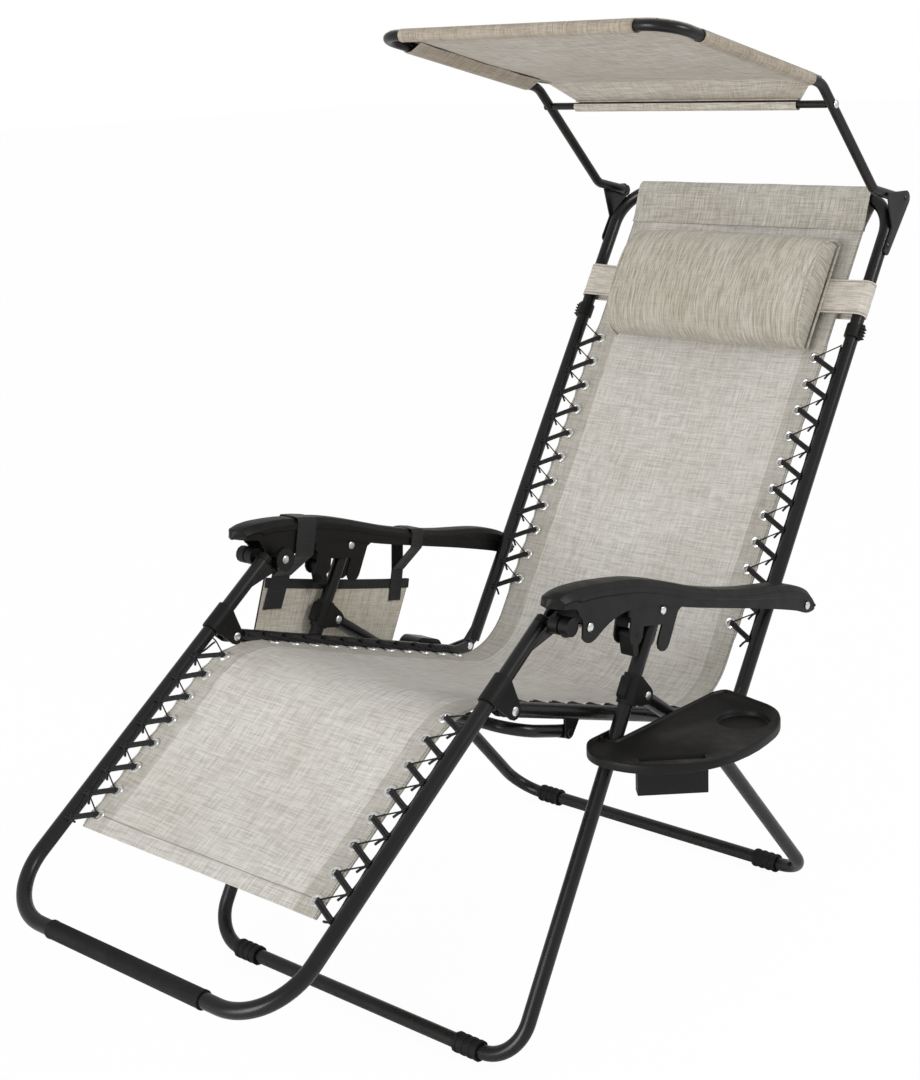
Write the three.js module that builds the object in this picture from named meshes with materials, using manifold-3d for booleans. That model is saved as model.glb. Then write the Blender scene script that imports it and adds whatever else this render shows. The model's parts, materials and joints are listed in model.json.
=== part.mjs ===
// Reclining sun lounger with a canopy, in millimetres: x across, y from foot end to head end, z up from the floor.
// Four rigid side linkages (floor legs, armrests, leg rest with seat, back) carry one laced sling.
import * as THREE from 'three';
import { mergeVertices } from 'three/addons/utils/BufferGeometryUtils.js';
import Module from 'manifold-3d';

const wasm = await Module();
wasm.setup();

// Sizes shared by several pieces.
const FIT = 0.3; // gap between pieces that bear on one another
const OVERRUN = 30; // how far a cutter runs past what it cuts
const TUBE_R = 11;
const TUBE_WALL = 1.2;
const TUBE_SIDES = 12;
const THIN_SIDES = 8; // facets of the thinner tubes
const BORE_SIDES = 6;
const BEND_STEPS = 4;
const CIRCLE_STEPS = 12;
const PIN_R = 3.5;
const RIVET_HEAD_R = 6.5;
const RIVET_HEAD_T = 2.2;
const RIVET_SIDES = 8;
const PLATE_T = 3; // sheet of the clamps, cheeks and brackets

// Planes of the side tubes, measured from the middle of the lounger.
const SEAT_X = 278; // leg rest, seat rails and back frame
const ARM_WIDTH = 44;
const ARM_RUNNING_GAP = 3;
const LEGS_X = SEAT_X + TUBE_R + ARM_RUNNING_GAP + ARM_WIDTH / 2; // floor legs and armrests

// Side view: the knee pivot and the slopes of the frames in the pose shown.
const KNEE_Y = -282;
const KNEE_Z = 518;
const LEG_REST_SLOPE = 35.1;
const SEAT_SLOPE = -18.3;
const BACK_SLOPE = 57.6;
const FRONT_LEG_SLOPE = -120.5;
const REAR_LEG_UPPER_SLOPE = -36.3;
const REAR_LEG_LOWER_SLOPE = -48.8;
const FLOOR_BAR_Z = 15;

// Leg rest frame, along its own slope from the knee pivot.
const LEG_AXIS_RISE = 38.6;
const LEG_TOP_U = 119;
const FOOT_BAR_U = -531;
const FOOT_BEND_R = 95;
const ARM_PIVOT_U = 147;
const ARM_PIVOT_W = 14;
const ARM_DISC_R = 19;
const ARM_DISC_T = 6;
const ARM_DISC_INSET = 3;
const LUG_T = 6;
const LUG_EYE_R = 13;
const LUG_ROOT_U = 76;
const LUG_ROOT_R = 7;
const SPACER_R = 8;
const FOOT_SLEEVE_HALF = 157;
const FOOT_SLEEVE_WALL = 2.2;

// Knee clamps and the ribbed bumpers at the top of the leg rest.
const KNEE_CLAMP_LENGTH = 44;
const KNEE_EYE_R = 13;
const BUMPER_PLUG_LENGTH = 16;
const BUMPER_CAP_T = 11;
const BUMPER_CAP_EDGE = 2;
const BUMPER_PIN_R = 4.5;
const BUMPER_R = 13.5;
const BUMPER_GROOVE_R = 11;
const BUMPER_GROOVE_W = 3;
const BUMPER_SIDE_GAP = 1.5;

// Seat rails and the cross bar under the front of the seat.
const SEAT_FRONT_U = -8;
const HIP_U = 566;
const HIP_W = 12.5;
const HIP_SETBACK = 14;
const HIP_EYE_R = 10;
const HIP_LUG_T = 8;
const HIP_CHEEK_T = 3.5;
const HIP_ROOT = 46;
const HIP_ROOT_R = 7.5;
const CROSS_LUG_U = 142;
const CROSS_LUG_W = -28;
const CROSS_LUG_T = 4;
const CROSS_EYE_R = 10;
const CROSS_EYE_T = 5;
const CROSS_LUG_ROOT = 14;
const CROSS_BAR_R = 9;
const CROSS_BAR_U = 30;
const CROSS_BAR_W = -30;
const CROSS_BAR_BEND_R = 45;
const SEAT_REST_U = 458;
const SEAT_REST_LENGTH = 34;
const SEAT_REST_GAP = 0.2;

// Back frame, along its own slope from the hip pivot.
const BACK_AXIS_W = -12;
const BACK_START_U = 14;
const BACK_TOP_U = 904;
const BACK_BEND_R = 70;
const BACK_ARM_U = 196;
const BACK_ARM_W = -32;
const BACK_LUG_T = 6;
const BACK_LUG_EYE_R = 10;
const BACK_LUG_ROOT = 15;

// Armrests, along the line from the leg rest pivot to the back pivot.
const ARM_RISE = 60;
const ARM_WALL = 3.2;
const ARM_TOP_T = 3.5;
const ARM_RIM_DROP = 17;
const ARM_RIM_STEP = 1;
const ARM_CHAMFER = 5;
const ARM_MIN_HEIGHT = 2;
const ARM_STATIONS = 8;
const ARM_ARCH_R = 21;
// Outline points: share of the pivot span along it, share of the rise above it.
const ARM_TOP_SHARES = [
  [-0.152, 0.5], [-0.126, 0.74], [-0.098, 0.86], [0.054, 0.983], [0.218, 0.99], [0.489, 0.64], [0.68, 0.56],
  [0.881, 0.56], [1.019, 0.36], [1.06, 0.1], [1.07, -0.12],
];
const ARM_BOTTOM_SHARES = [
  [-0.152, 0.47], [-0.089, 0.24], [-0.026, -0.1], [0.03, -0.35], [0.073, -0.12], [0.148, 0.22], [0.27, 0.42],
  [0.496, 0.27], [0.75, 0.12], [0.955, -0.02], [1.0, -0.17], [1.07, -0.17],
];

// Brackets under the armrests that carry the front legs, and the lock levers between their cheeks.
const LEG_PIVOT_V = 179;
const LEG_PIVOT_W = 13;
const LEG_HEAD = 14; // tube past the pivot
const BRACKET_SIDE_GAP = 0.8;
const BRACKET_FRONT_V = 98;
const BRACKET_REAR_V = 236;
const BRACKET_WAIST_W = -8;
const BRACKET_WEB_T = 4;
const FRONT_LOBE_V = 120;
const FRONT_LOBE_W = -20;
const FRONT_LOBE_R = 16;
const REAR_LOBE_V = 190;
const REAR_LOBE_W = -33;
const REAR_LOBE_R = 15;
const LOBE_ROOT_W = 20;
const LEVER_HUB_R = 8;
const LEVER_TIP_V = 128;
const LEVER_TIP_W = -46;
const LEVER_TIP_R = 6;
const LEVER_PIN_R = 3;
const LEVER_SIDE_GAP = 0.5;

// Floor legs: clamps where the rear legs hang on the front legs, bends, rubber pads.
const CLAMP_U = 122;
const CLAMP_OFFSET = 27;
const CLAMP_LENGTH = 44;
const CLAMP_EYE_R = 13;
const CLAMP_EDGE_R = 3;
const CLAMP_HUMP_R = 6;
const CLAMP_HUMP_HALF = 7;
const CLAMP_HUMP_LENGTH = 22;
const FRONT_BEND_R = 62;
const REAR_BEND_R = 56;
const REAR_HEAD = 5;
const REAR_UPPER = 224.6;
const REAR_KNUCKLE_R = 250;
const PAD_R = 15.5;
const PAD_RIB = 1;
const PAD_LENGTH = 44;
const PAD_RIBS = 3;

// Cup tray beside the left armrest and its clip on the front leg.
const TRAY_Z = 430;
const TRAY_DEPTH = 15;
const TRAY_WALL = 3;
const TRAY_RIM = 4;
const TRAY_RECESS = 4;
const TRAY_PLATE = 3;
const TRAY_LEG_GAP = 2;
const TRAY_WIDTH = 200; // from the notch round the leg to the outer rim
const TRAY_LENGTH = 334;
const TRAY_CORNER_R = 16;
const TRAY_LEG_LAP = 18; // inner edge of the tray past the plane of the legs
const TRAY_INNER_X = LEGS_X - TRAY_LEG_LAP;
const TRAY_FRONT_Y = -176;
// Outline: share of the width from the inner edge, share of the length from the front edge, share of the corner radius.
const TRAY_OUTLINE_SHARES = [
  [0, 0.13, 1.2], [0.15, 0.01, 1.2], [0.52, 0, 2.5], [0.93, 0.22, 3.2], [1, 0.5, 3], [0.93, 0.78, 2.5],
  [0.72, 0.93, 1.6], [0.2, 1, 1.2], [0.155, 0.93, 0.6], [0.155, 0.44, 0.5], [0, 0.36, 0.8],
];
const CUP_X = 423;
const CUP_Y = 72;
const CUP_R = 40;
const CUP_DEPTH = 9;
const SLOT_X = 424;
const SLOT_Y = -108;
const SLOT_LENGTH = 92;
const SLOT_WIDTH = 15;
const SLOT_TURN = 44;
const POCKET_DEPTH = 50;
const CLIP_LENGTH = 20;
const CLIP_WALL = 3.5;
const CLIP_PLATE_T = 4;
const CLIP_PLATE_W = 26;
const CLIP_REACH = 52;
const CLIP_KNOB_R = 6;
const CLIP_KNOB_L = 10;

// Sling: one cloth in three parts, laced to the side tubes with elastic cord.
const SLING_TUBE_GAP = 39; // edge of the sling to the axis of the side tube
const SLING_HALF = SEAT_X - SLING_TUBE_GAP;
const SLING_T = 2.2;
const EYELET_INSET = 17;
const EYELET_X = SLING_HALF - EYELET_INSET;
const SLING_START_U = -381;
const KNEE_CURVE_R = 150;
const HIP_CURVE_R = 110;
const SLING_SPLIT_GAP = 6;
const SLEEVE_INSET = 1;
const SLEEVE_HALF = SLING_HALF - SLEEVE_INSET;
const SLEEVE_R = 14;
const SLEEVE_DEPTH = 59;
const SLEEVE_TIP = 8;
const SAG_LEG = 14;
const SAG_KNEE = 7;
const SAG_SEAT = 20;
const SAG_HIP = 15;
const SAG_BACK = 16;
const SLING_COLUMNS = 6;
const SLING_STEP = 68;
const CORD_R = 2.2;
const CORD_SIDES = 5;
const CORD_TUBE_HALF = 3.5; // half the cord's run along the tube
const CORD_EYELET_HALF = 2.5;
const EYELET_PITCH_LEG = 43.5;
const EYELET_PITCH_SEAT = 44;
const EYELET_PITCH_BACK = 46.7;
const LACE_LEG_START = 20;
const LACE_KNEE_MARGIN = 46;
const LACE_HIP_MARGIN = 40;
const LACE_BACK_MARGIN = 30;
const CORD_TUBE_GAP = 0.1;

// Head pillow on the back, the band that holds it and the clips under the band.
const PILLOW_HALF = 203;
const PILLOW_BAND_SHIFT = 1; // middle of the pillow past the middle of the band
const PILLOW_LENGTH = 204;
const PILLOW_THICK = 74;
const PILLOW_END_DRAW = 9;
const PILLOW_STATIONS = 10;
const PILLOW_RIM_STEPS = 12;
const BAND_BRACKET_GAP = 53; // band to the foot of the canopy bracket
const BAND_WIDTH = 60;
const BAND_T = 2;
const BAND_GAP = 0.5;
const BAND_INNER_X = 213;
const BAND_DIP = 5;
const BAND_BACK_BOW = 8.5;
const STRAP_CLIP_GAP = 16; // clip to the band
const STRAP_CLIP_LENGTH = 22;
const STRAP_CLIP_WALL = 2.5;
const STRAP_CLIP_PAD_T = 4;
const STRAP_CLIP_RIBS = 4;

// Canopy: brackets on the back frame, folding frame, cross bar and cloth.
const CANOPY_PIVOT_RISE = 2; // bolt past the axis of the back frame's top bar
const CANOPY_PIVOT_U = BACK_TOP_U + CANOPY_PIVOT_RISE;
const CANOPY_PIVOT_W = -19.6;
const BRACKET_EYE_R = 13;
const BRACKET_LENGTH = 100;
const BRACKET_FOOT_R = 8;
const BRACKET_MID_SHARE = 0.56;
const BRACKET_WING_DROP = 22;
const BRACKET_WING_W = 32;
const BRACKET_WING_R = 5;
const BRACKET_PIN_RISE = 9;
const BRACKET_PIN_R = 3;
const BRACKET_PIN_DEPTH = 5;
const CANOPY_R = 8;
const CANOPY_WALL = 1;
const CANOPY_EYE_R = 10;
const CANOPY_EYE_T = 5;
const CANOPY_TUBE_START = 16;
const CANOPY_SIDE_GAP = 0.5;
const CANOPY_X = SEAT_X + TUBE_R + FIT - CANOPY_SIDE_GAP - CANOPY_R;
const CANOPY_ELBOW_Y = -89;
const CANOPY_ELBOW_Z = 21;
const CANOPY_ELBOW_R = 30;
const CANOPY_CROWN_Y = -257;
const CANOPY_CROWN_Z = 197;
const CANOPY_CROWN_R = 45;
const CANOPY_FRONT_Y = -657;
const CANOPY_FRONT_Z = 292;
const CANOPY_CORNER_R = 50;
const CANOPY_BAR_R = 6;
const CANOPY_BAR_DOWN = 46;
const CANOPY_PIN_R = 3;
const CLOTH_T = 1.8;
const CLOTH_GAP = 0.5;
const CLOTH_SAG = 12;
const CLOTH_CROWN_MARGIN = 32;
const CLOTH_CORNER_MARGIN = 26;
const CLOTH_BACK_HALF = 221;
const CLOTH_FOLD_HALF = 262;
const CLOTH_COLUMNS = 6;
const CLOTH_ROWS = 5;
const CLOTH_FLAP_ROWS = 2;

// Pouch hung outside the right armrest on two straps.
const POUCH_GAP = 6;
const POUCH_WALL = 1.5;
const POUCH_CLEAR = 18; // from the plane of the legs to the inner face
const POUCH_FRONT_V = 23;
const POUCH_REAR_V = 364;
const POUCH_TOP_FRONT_W = -42;
const POUCH_TOP_REAR_W = -57;
const POUCH_BOTTOM_FRONT_W = -153;
const POUCH_BOTTOM_REAR_W = -176;
const POUCH_BOTTOM_SHIFT = 16;
const STRAP_T = 1.6;
const STRAP_DROP = 92; // end of the straps below the pivot line
const FRONT_STRAP_V = 65;
const FRONT_STRAP_WIDTH = 40;
const FRONT_STRAP_LEAN = 0.25;
const REAR_STRAP_V = 330;
const REAR_STRAP_WIDTH = 28;
const REAR_STRAP_LEAN = 0;
const STRAP_JOIN_DROP = 37;
const STRAP_EDGE_GAP = 0.5;

// Finishes.
const PAINTED = { color: 0x17181a, roughness: 0.38, metalness: 0.6 };
const PLASTIC = { color: 0x242426, roughness: 0.62, metalness: 0.05 };
const RUBBER = { color: 0x141414, roughness: 0.85, metalness: 0 };
const STEEL = { color: 0xb9bcc0, roughness: 0.3, metalness: 0.95 };
const SLING = { color: 0xc3bfb8, roughness: 0.9, metalness: 0 };
const CANOPY = { color: 0xb3aba0, roughness: 0.9, metalness: 0 };
const PILLOW = { color: 0xb7b1a0, roughness: 0.92, metalness: 0 };
const CORD = { color: 0x111111, roughness: 0.9, metalness: 0 };

// Plain geometry helpers.
const along = (degrees) => {
  const a = THREE.MathUtils.degToRad(degrees);
  return new THREE.Vector2(Math.cos(a), Math.sin(a));
};
const across = (d) => new THREE.Vector2(-d.y, d.x);
const V = (u, w, x) => new THREE.Vector3(u, w, x);

// A point of a side frame (u along its slope, w across it) in the side view y, z.
function sidePoint(frame, u, w) {
  const d = along(frame.slope);
  return frame.at.clone().addScaledVector(d, u).addScaledVector(across(d), w);
}

// The place of a side-view point in a side frame.
function inFrame(frame, point) {
  const d = along(frame.slope);
  const v = point.clone().sub(frame.at);
  return new THREE.Vector2(v.dot(d), v.dot(across(d)));
}

// A group whose x, y, z run along the slope, across it and across the lounger.
function sideGroup(frame) {
  const g = new THREE.Group();
  const d = along(frame.slope);
  const basis = new THREE.Matrix4().makeBasis(V(0, d.x, d.y), V(0, -d.y, d.x), V(1, 0, 0));
  g.quaternion.setFromRotationMatrix(basis);
  g.position.set(0, frame.at.x, frame.at.y);
  return g;
}

// A closed solid from a geometry, and back.
function solid(geometry) {
  const g = geometry.clone();
  g.deleteAttribute('normal');
  g.deleteAttribute('uv');
  const m = mergeVertices(g, 1e-4);
  return new wasm.Manifold(new wasm.Mesh({
    numProp: 3,
    vertProperties: new Float32Array(m.attributes.position.array),
    triVerts: new Uint32Array(m.index.array),
  }));
}

function geometryOf(body) {
  const mesh = body.getMesh();
  const g = new THREE.BufferGeometry();
  g.setAttribute('position', new THREE.BufferAttribute(new Float32Array(mesh.vertProperties), 3));
  g.setIndex(new THREE.BufferAttribute(new Uint32Array(mesh.triVerts), 1));
  g.computeVertexNormals();
  return g;
}

const joined = (...bodies) => bodies.reduce((a, b) => a.add(b));
const cut = (body, ...cutters) => cutters.reduce((a, b) => a.subtract(b), body);

// The same piece on the other side of the lounger.
function mirrored(geometry) {
  return geometryOf(solid(geometry).mirror([0, 0, 1]));
}

// A curve that keeps one ring at each station, so that straight runs cost nothing.
class StationCurve extends THREE.Curve {
  constructor(points, tangents) {
    super();
    this.points = points;
    this.tangents = tangents;
  }

  between(list, t, target) {
    const place = Math.min(Math.max(t, 0), 1) * (list.length - 1);
    const i = Math.min(Math.floor(place), list.length - 2);
    return target.copy(list[i]).lerp(list[i + 1], place - i);
  }

  getPoint(t, target = new THREE.Vector3()) {
    return this.between(this.points, t, target);
  }

  getPointAt(t, target = new THREE.Vector3()) {
    return this.between(this.points, t, target);
  }

  getTangentAt(t, target = new THREE.Vector3()) {
    return this.between(this.tangents, t, target).normalize();
  }
}

// Straight runs joined by bends: each corner is a point and its bend radius.
function route(corners, steps = BEND_STEPS) {
  const points = [];
  const tangents = [];
  corners.forEach(([corner, radius], i) => {
    const before = corners[i - 1];
    const after = corners[i + 1];
    if (!before || !after) {
      const t = before ? corner.clone().sub(before[0]) : after[0].clone().sub(corner);
      points.push(corner.clone());
      tangents.push(t.normalize());
      return;
    }
    const back = before[0].clone().sub(corner).normalize();
    const ahead = after[0].clone().sub(corner).normalize();
    if (radius === 0) {
      points.push(corner.clone());
      tangents.push(ahead.sub(back).normalize());
      return;
    }
    const turn = Math.PI - back.angleTo(ahead);
    const start = corner.clone().addScaledVector(back, radius * Math.tan(turn / 2));
    const middle = back.clone().add(ahead).normalize();
    const centre = corner.clone().addScaledVector(middle, radius / Math.cos(turn / 2));
    const axis = back.clone().negate().cross(ahead).normalize();
    for (let k = 0; k <= steps; k++) {
      const a = (turn * k) / steps;
      points.push(start.clone().sub(centre).applyAxisAngle(axis, a).add(centre));
      tangents.push(back.clone().negate().applyAxisAngle(axis, a));
    }
  });
  return new StationCurve(points, tangents);
}

function ring(radius, sides) {
  return Array.from({ length: sides }, (_, k) => {
    const a = (2 * Math.PI * (k + 0.5)) / sides;
    return new THREE.Vector2(radius * Math.cos(a), radius * Math.sin(a));
  });
}

// A tube along a route, open at its ends when it has a wall.
function tube(curve, radius, wall = 0, sides = TUBE_SIDES) {
  const section = shapeOf(ring(radius, sides), wall > 0 ? [ring(radius - wall, BORE_SIDES)] : []);
  return new THREE.ExtrudeGeometry(section, {
    steps: curve.points.length - 1,
    extrudePath: curve,
  });
}

// The convex outline round a few circles [u, w, radius].
function hull(circles, steps = CIRCLE_STEPS) {
  const points = circles.flatMap(([u, w, r]) => ring(r, steps).map((p) => p.add(new THREE.Vector2(u, w))));
  points.sort((a, b) => a.x - b.x || a.y - b.y);
  const half = (list) => {
    const chain = [];
    for (const p of list) {
      while (chain.length > 1) {
        const a = chain[chain.length - 2];
        const b = chain[chain.length - 1];
        if ((b.x - a.x) * (p.y - a.y) - (b.y - a.y) * (p.x - a.x) > 0) {
          break;
        }
        chain.pop();
      }
      chain.push(p);
    }
    chain.pop();
    return chain;
  };
  return [...half(points), ...half([...points].reverse())];
}

// A shape whose outline and holes all run anticlockwise.
function shapeOf(outline, holes = []) {
  const turn = (points) => (THREE.ShapeUtils.area(points) < 0 ? [...points].reverse() : points);
  const shape = new THREE.Shape(turn(outline));
  shape.holes = holes.map((hole) => new THREE.Path(turn(hole)));
  return shape;
}

// A flat outline in the side view, thickened across the lounger from x0 to x1.
function plate(outline, x0, x1, holes = []) {
  const shape = shapeOf(outline, holes);
  const g = new THREE.ExtrudeGeometry(shape, { depth: x1 - x0, bevelEnabled: false });
  return g.translate(0, 0, x0);
}

// Radius of a faceted bore whose flats clear a tube.
const clearing = (radius) => (radius + FIT) / Math.cos(Math.PI / CIRCLE_STEPS);

// A turned solid about a line across the lounger: profile of [radius, x].
function turned(profile, u, w, sides = CIRCLE_STEPS) {
  const g = new THREE.LatheGeometry(profile.map(([r, x]) => new THREE.Vector2(r, x)), sides);
  return g.rotateX(Math.PI / 2).translate(u, w, 0);
}

// A turned solid about a line along the slope: profile of [radius, u].
function turnedAlong(profile, w, x, sides = CIRCLE_STEPS) {
  const g = new THREE.LatheGeometry(profile.map(([r, u]) => new THREE.Vector2(r, u)), sides);
  return g.rotateZ(-Math.PI / 2).translate(0, w, x);
}

const drum = (radius, x0, x1, u, w, sides) => turned([[0, x0], [radius, x0], [radius, x1], [0, x1]], u, w, sides);

const collar = (inner, outer, u0, u1, w, x) => turnedAlong(
  [[inner, u0], [outer, u0], [outer, u1], [inner, u1], [inner, u0]], w, x);

// A rivet or pin across the lounger with a domed head at the ends that show.
function rivetSolid(x0, x1, u, w, radius = PIN_R, headLow = true, headHigh = true) {
  const dome = RIVET_HEAD_R - RIVET_HEAD_T;
  const profile = [];
  if (headLow) {
    profile.push([0, x0 - RIVET_HEAD_T], [dome, x0 - RIVET_HEAD_T], [RIVET_HEAD_R, x0], [radius, x0]);
  } else {
    profile.push([0, x0], [radius, x0]);
  }
  if (headHigh) {
    profile.push([radius, x1], [RIVET_HEAD_R, x1], [dome, x1 + RIVET_HEAD_T], [0, x1 + RIVET_HEAD_T]);
  } else {
    profile.push([radius, x1], [0, x1]);
  }
  return turned(profile, u, w, RIVET_SIDES);
}

// A smooth curve through a table of [place, value] pairs.
function smooth(table, place) {
  const last = table.length - 1;
  let i = 0;
  while (i < last - 1 && place > table[i + 1][0]) {
    i++;
  }
  const slope = (k) => {
    const a = table[Math.max(k - 1, 0)];
    const b = table[Math.min(k + 1, last)];
    return (b[1] - a[1]) / (b[0] - a[0]);
  };
  const [p0, v0] = table[i];
  const [p1, v1] = table[i + 1];
  const span = p1 - p0;
  const t = (place - p0) / span;
  const t2 = t * t;
  const t3 = t2 * t;
  return (2 * t3 - 3 * t2 + 1) * v0 + (t3 - 2 * t2 + t) * span * slope(i)
    + (3 * t2 - 2 * t3) * v1 + (t3 - t2) * span * slope(i + 1);
}

// A closed skin over rings of points, each ring with the same number of points.
function loft(rings) {
  const n = rings[0].length;
  const position = rings.flat().flatMap((p) => p.toArray());
  const index = [];
  for (let i = 0; i < rings.length - 1; i++) {
    for (let k = 0; k < n; k++) {
      const a = i * n + k;
      const b = i * n + ((k + 1) % n);
      index.push(a, b, b + n, a, b + n, a + n);
    }
  }
  const end = (rings.length - 1) * n;
  for (const [ring0, first, forward] of [[rings[0], 0, false], [rings[rings.length - 1], end, true]]) {
    const outline = ring0.map((p) => flat(rings[0], p));
    const ahead = forward === THREE.ShapeUtils.area(outline) > 0;
    for (const [a, b, c] of THREE.ShapeUtils.triangulateShape(outline, [])) {
      index.push(first + a, ...(ahead ? [first + b, first + c] : [first + c, first + b]));
    }
  }
  const g = new THREE.BufferGeometry();
  g.setAttribute('position', new THREE.Float32BufferAttribute(position, 3));
  g.setIndex(index);
  return outward(g);
}

// A ring's points laid flat, so that its end can be closed.
function flat(first, p) {
  const spread = (key) => Math.max(...first.map((q) => q[key])) - Math.min(...first.map((q) => q[key]));
  const [a, b] = ['x', 'y', 'z'].sort((m, n) => spread(n) - spread(m));
  return new THREE.Vector2(p[a], p[b]);
}

// Turns a closed skin's faces outwards.
function outward(g) {
  const p = g.attributes.position;
  const index = Array.from(g.index.array);
  const [a, b, c] = [V(0, 0, 0), V(0, 0, 0), V(0, 0, 0)];
  let volume = 0;
  for (let i = 0; i < index.length; i += 3) {
    a.fromBufferAttribute(p, index[i]);
    b.fromBufferAttribute(p, index[i + 1]);
    c.fromBufferAttribute(p, index[i + 2]);
    volume += a.dot(b.cross(c));
  }
  if (volume < 0) {
    for (let i = 0; i < index.length; i += 3) {
      [index[i], index[i + 1]] = [index[i + 1], index[i]];
    }
    g.setIndex(index);
  }
  g.computeVertexNormals();
  return g;
}

// A closed sheet: middle(i, j) gives a point and the direction to its upper face.
function sheet(rows, columns, thickness, middle) {
  const position = [];
  const index = [];
  for (const side of [1, -1]) {
    for (let i = 0; i <= rows; i++) {
      for (let j = 0; j <= columns; j++) {
        const [p, n] = middle(i / rows, j / columns);
        position.push(...p.clone().addScaledVector(n, (side * thickness) / 2).toArray());
      }
    }
  }
  const layer = (rows + 1) * (columns + 1);
  const at = (i, j, k) => k * layer + i * (columns + 1) + j;
  for (let i = 0; i < rows; i++) {
    for (let j = 0; j < columns; j++) {
      index.push(at(i, j, 0), at(i + 1, j, 0), at(i + 1, j + 1, 0), at(i, j, 0), at(i + 1, j + 1, 0), at(i, j + 1, 0));
      index.push(at(i, j, 1), at(i + 1, j + 1, 1), at(i + 1, j, 1), at(i, j, 1), at(i, j + 1, 1), at(i + 1, j + 1, 1));
    }
  }
  const rim = [];
  for (let i = 0; i < rows; i++) {
    rim.push([i, 0]);
  }
  for (let j = 0; j < columns; j++) {
    rim.push([rows, j]);
  }
  for (let i = rows; i > 0; i--) {
    rim.push([i, columns]);
  }
  for (let j = columns; j > 0; j--) {
    rim.push([0, j]);
  }
  rim.forEach(([i, j], k) => {
    const [m, n] = rim[(k + 1) % rim.length];
    index.push(at(i, j, 0), at(i, j, 1), at(m, n, 1), at(i, j, 0), at(m, n, 1), at(m, n, 0));
  });
  const g = new THREE.BufferGeometry();
  g.setAttribute('position', new THREE.Float32BufferAttribute(position, 3));
  g.setIndex(index);
  return outward(g);
}

// A closed outline moved outwards by a distance, corner by corner.
function offset(outline, distance) {
  const n = outline.length;
  const turn = Math.sign(THREE.ShapeUtils.area(outline));
  return outline.map((p, i) => {
    const a = p.clone().sub(outline[(i + n - 1) % n]).normalize();
    const b = outline[(i + 1) % n].clone().sub(p).normalize();
    const na = new THREE.Vector2(a.y, -a.x);
    const nb = new THREE.Vector2(b.y, -b.x);
    const middle = na.clone().add(nb).normalize();
    return p.clone().addScaledVector(middle, (turn * distance) / middle.dot(na));
  });
}

// A closed outline whose corners [point, radius] are rounded.
function rounded(corners, steps = 2) {
  const n = corners.length;
  return corners.flatMap(([p, radius], i) => {
    const back = corners[(i + n - 1) % n][0].clone().sub(p);
    const ahead = corners[(i + 1) % n][0].clone().sub(p);
    const room = Math.min(back.length(), ahead.length()) / 2;
    back.normalize();
    ahead.normalize();
    const half = Math.acos(THREE.MathUtils.clamp(back.dot(ahead), -1, 1)) / 2;
    const reach = Math.min(radius / Math.tan(half), room);
    const start = p.clone().addScaledVector(back, reach);
    const end = p.clone().addScaledVector(ahead, reach);
    return Array.from({ length: steps + 1 }, (_, k) => {
      const t = k / steps;
      return start.clone().multiplyScalar((1 - t) * (1 - t))
        .addScaledVector(p, 2 * t * (1 - t))
        .addScaledVector(end, t * t);
    });
  });
}

// Meshes.
const lounger = new THREE.Group();

function addMesh(parent, name, body, finish) {
  const geometry = body.isBufferGeometry ? body : geometryOf(body);
  const mesh = new THREE.Mesh(geometry, new THREE.MeshStandardMaterial(finish));
  mesh.name = name;
  parent.add(mesh);
  return mesh;
}

function addPair(parent, name, body, finish) {
  const left = body.isBufferGeometry ? body : geometryOf(body);
  addMesh(parent, `${name}_left`, left, finish);
  addMesh(parent, `${name}_right`, mirrored(left), finish);
}

// The linkage in the side view, worked out from the knee pivot.
const knee = new THREE.Vector2(KNEE_Y, KNEE_Z);
const legRest = { at: knee, slope: LEG_REST_SLOPE };
const seat = { at: knee, slope: SEAT_SLOPE };
const back = { at: sidePoint(seat, HIP_U, HIP_W), slope: BACK_SLOPE };
const armFront = sidePoint(legRest, ARM_PIVOT_U, ARM_PIVOT_W);
const armRear = sidePoint(back, BACK_ARM_U, BACK_ARM_W);
const armSpan = armFront.distanceTo(armRear);
const armSlope = THREE.MathUtils.radToDeg(armRear.clone().sub(armFront).angle()) - 360;
const arm = { at: armFront, slope: armSlope };
const frontLeg = { at: sidePoint(arm, LEG_PIVOT_V, LEG_PIVOT_W), slope: FRONT_LEG_SLOPE };
const rearLeg = { at: sidePoint(frontLeg, CLAMP_U, CLAMP_OFFSET), slope: REAR_LEG_UPPER_SLOPE };
const canopyPivot = sidePoint(back, CANOPY_PIVOT_U, CANOPY_PIVOT_W);
const level = (point) => ({ at: point, slope: 0 });
const toFloor = (z, slope) => (FLOOR_BAR_Z - z) / along(slope).y;
const frontBarU = toFloor(frontLeg.at.y, FRONT_LEG_SLOPE);
const frontBar = sidePoint(frontLeg, frontBarU, 0);
const rearKnuckle = sidePoint(rearLeg, REAR_UPPER, 0);
const rearBar = rearKnuckle.clone().addScaledVector(
  along(REAR_LEG_LOWER_SLOPE), toFloor(rearKnuckle.y, REAR_LEG_LOWER_SLOPE));
const groups = {
  legRest: sideGroup(legRest),
  seat: sideGroup(seat),
  back: sideGroup(back),
  arm: sideGroup(arm),
  frontLeg: sideGroup(frontLeg),
  rearLeg: sideGroup(rearLeg),
  canopy: sideGroup(level(canopyPivot)),
  cloth: sideGroup(level(new THREE.Vector2(0, 0))),
};
Object.values(groups).forEach((g) => lounger.add(g));

// Both halves of a U frame from the corners of its left side.
function uFrame(leftCorners) {
  const right = leftCorners.map(([p, r]) => [V(p.x, p.y, -p.z), r]).reverse();
  return route([...leftCorners, ...right]);
}

const pinHole = (u, w, x, radius = PIN_R) => drum(radius + FIT, x - OVERRUN, x + OVERRUN, u, w, RIVET_SIDES);

function cutBothSides(body, cutter) {
  const c = solid(cutter);
  return body.subtract(c).subtract(c.mirror([0, 0, 1]));
}

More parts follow.
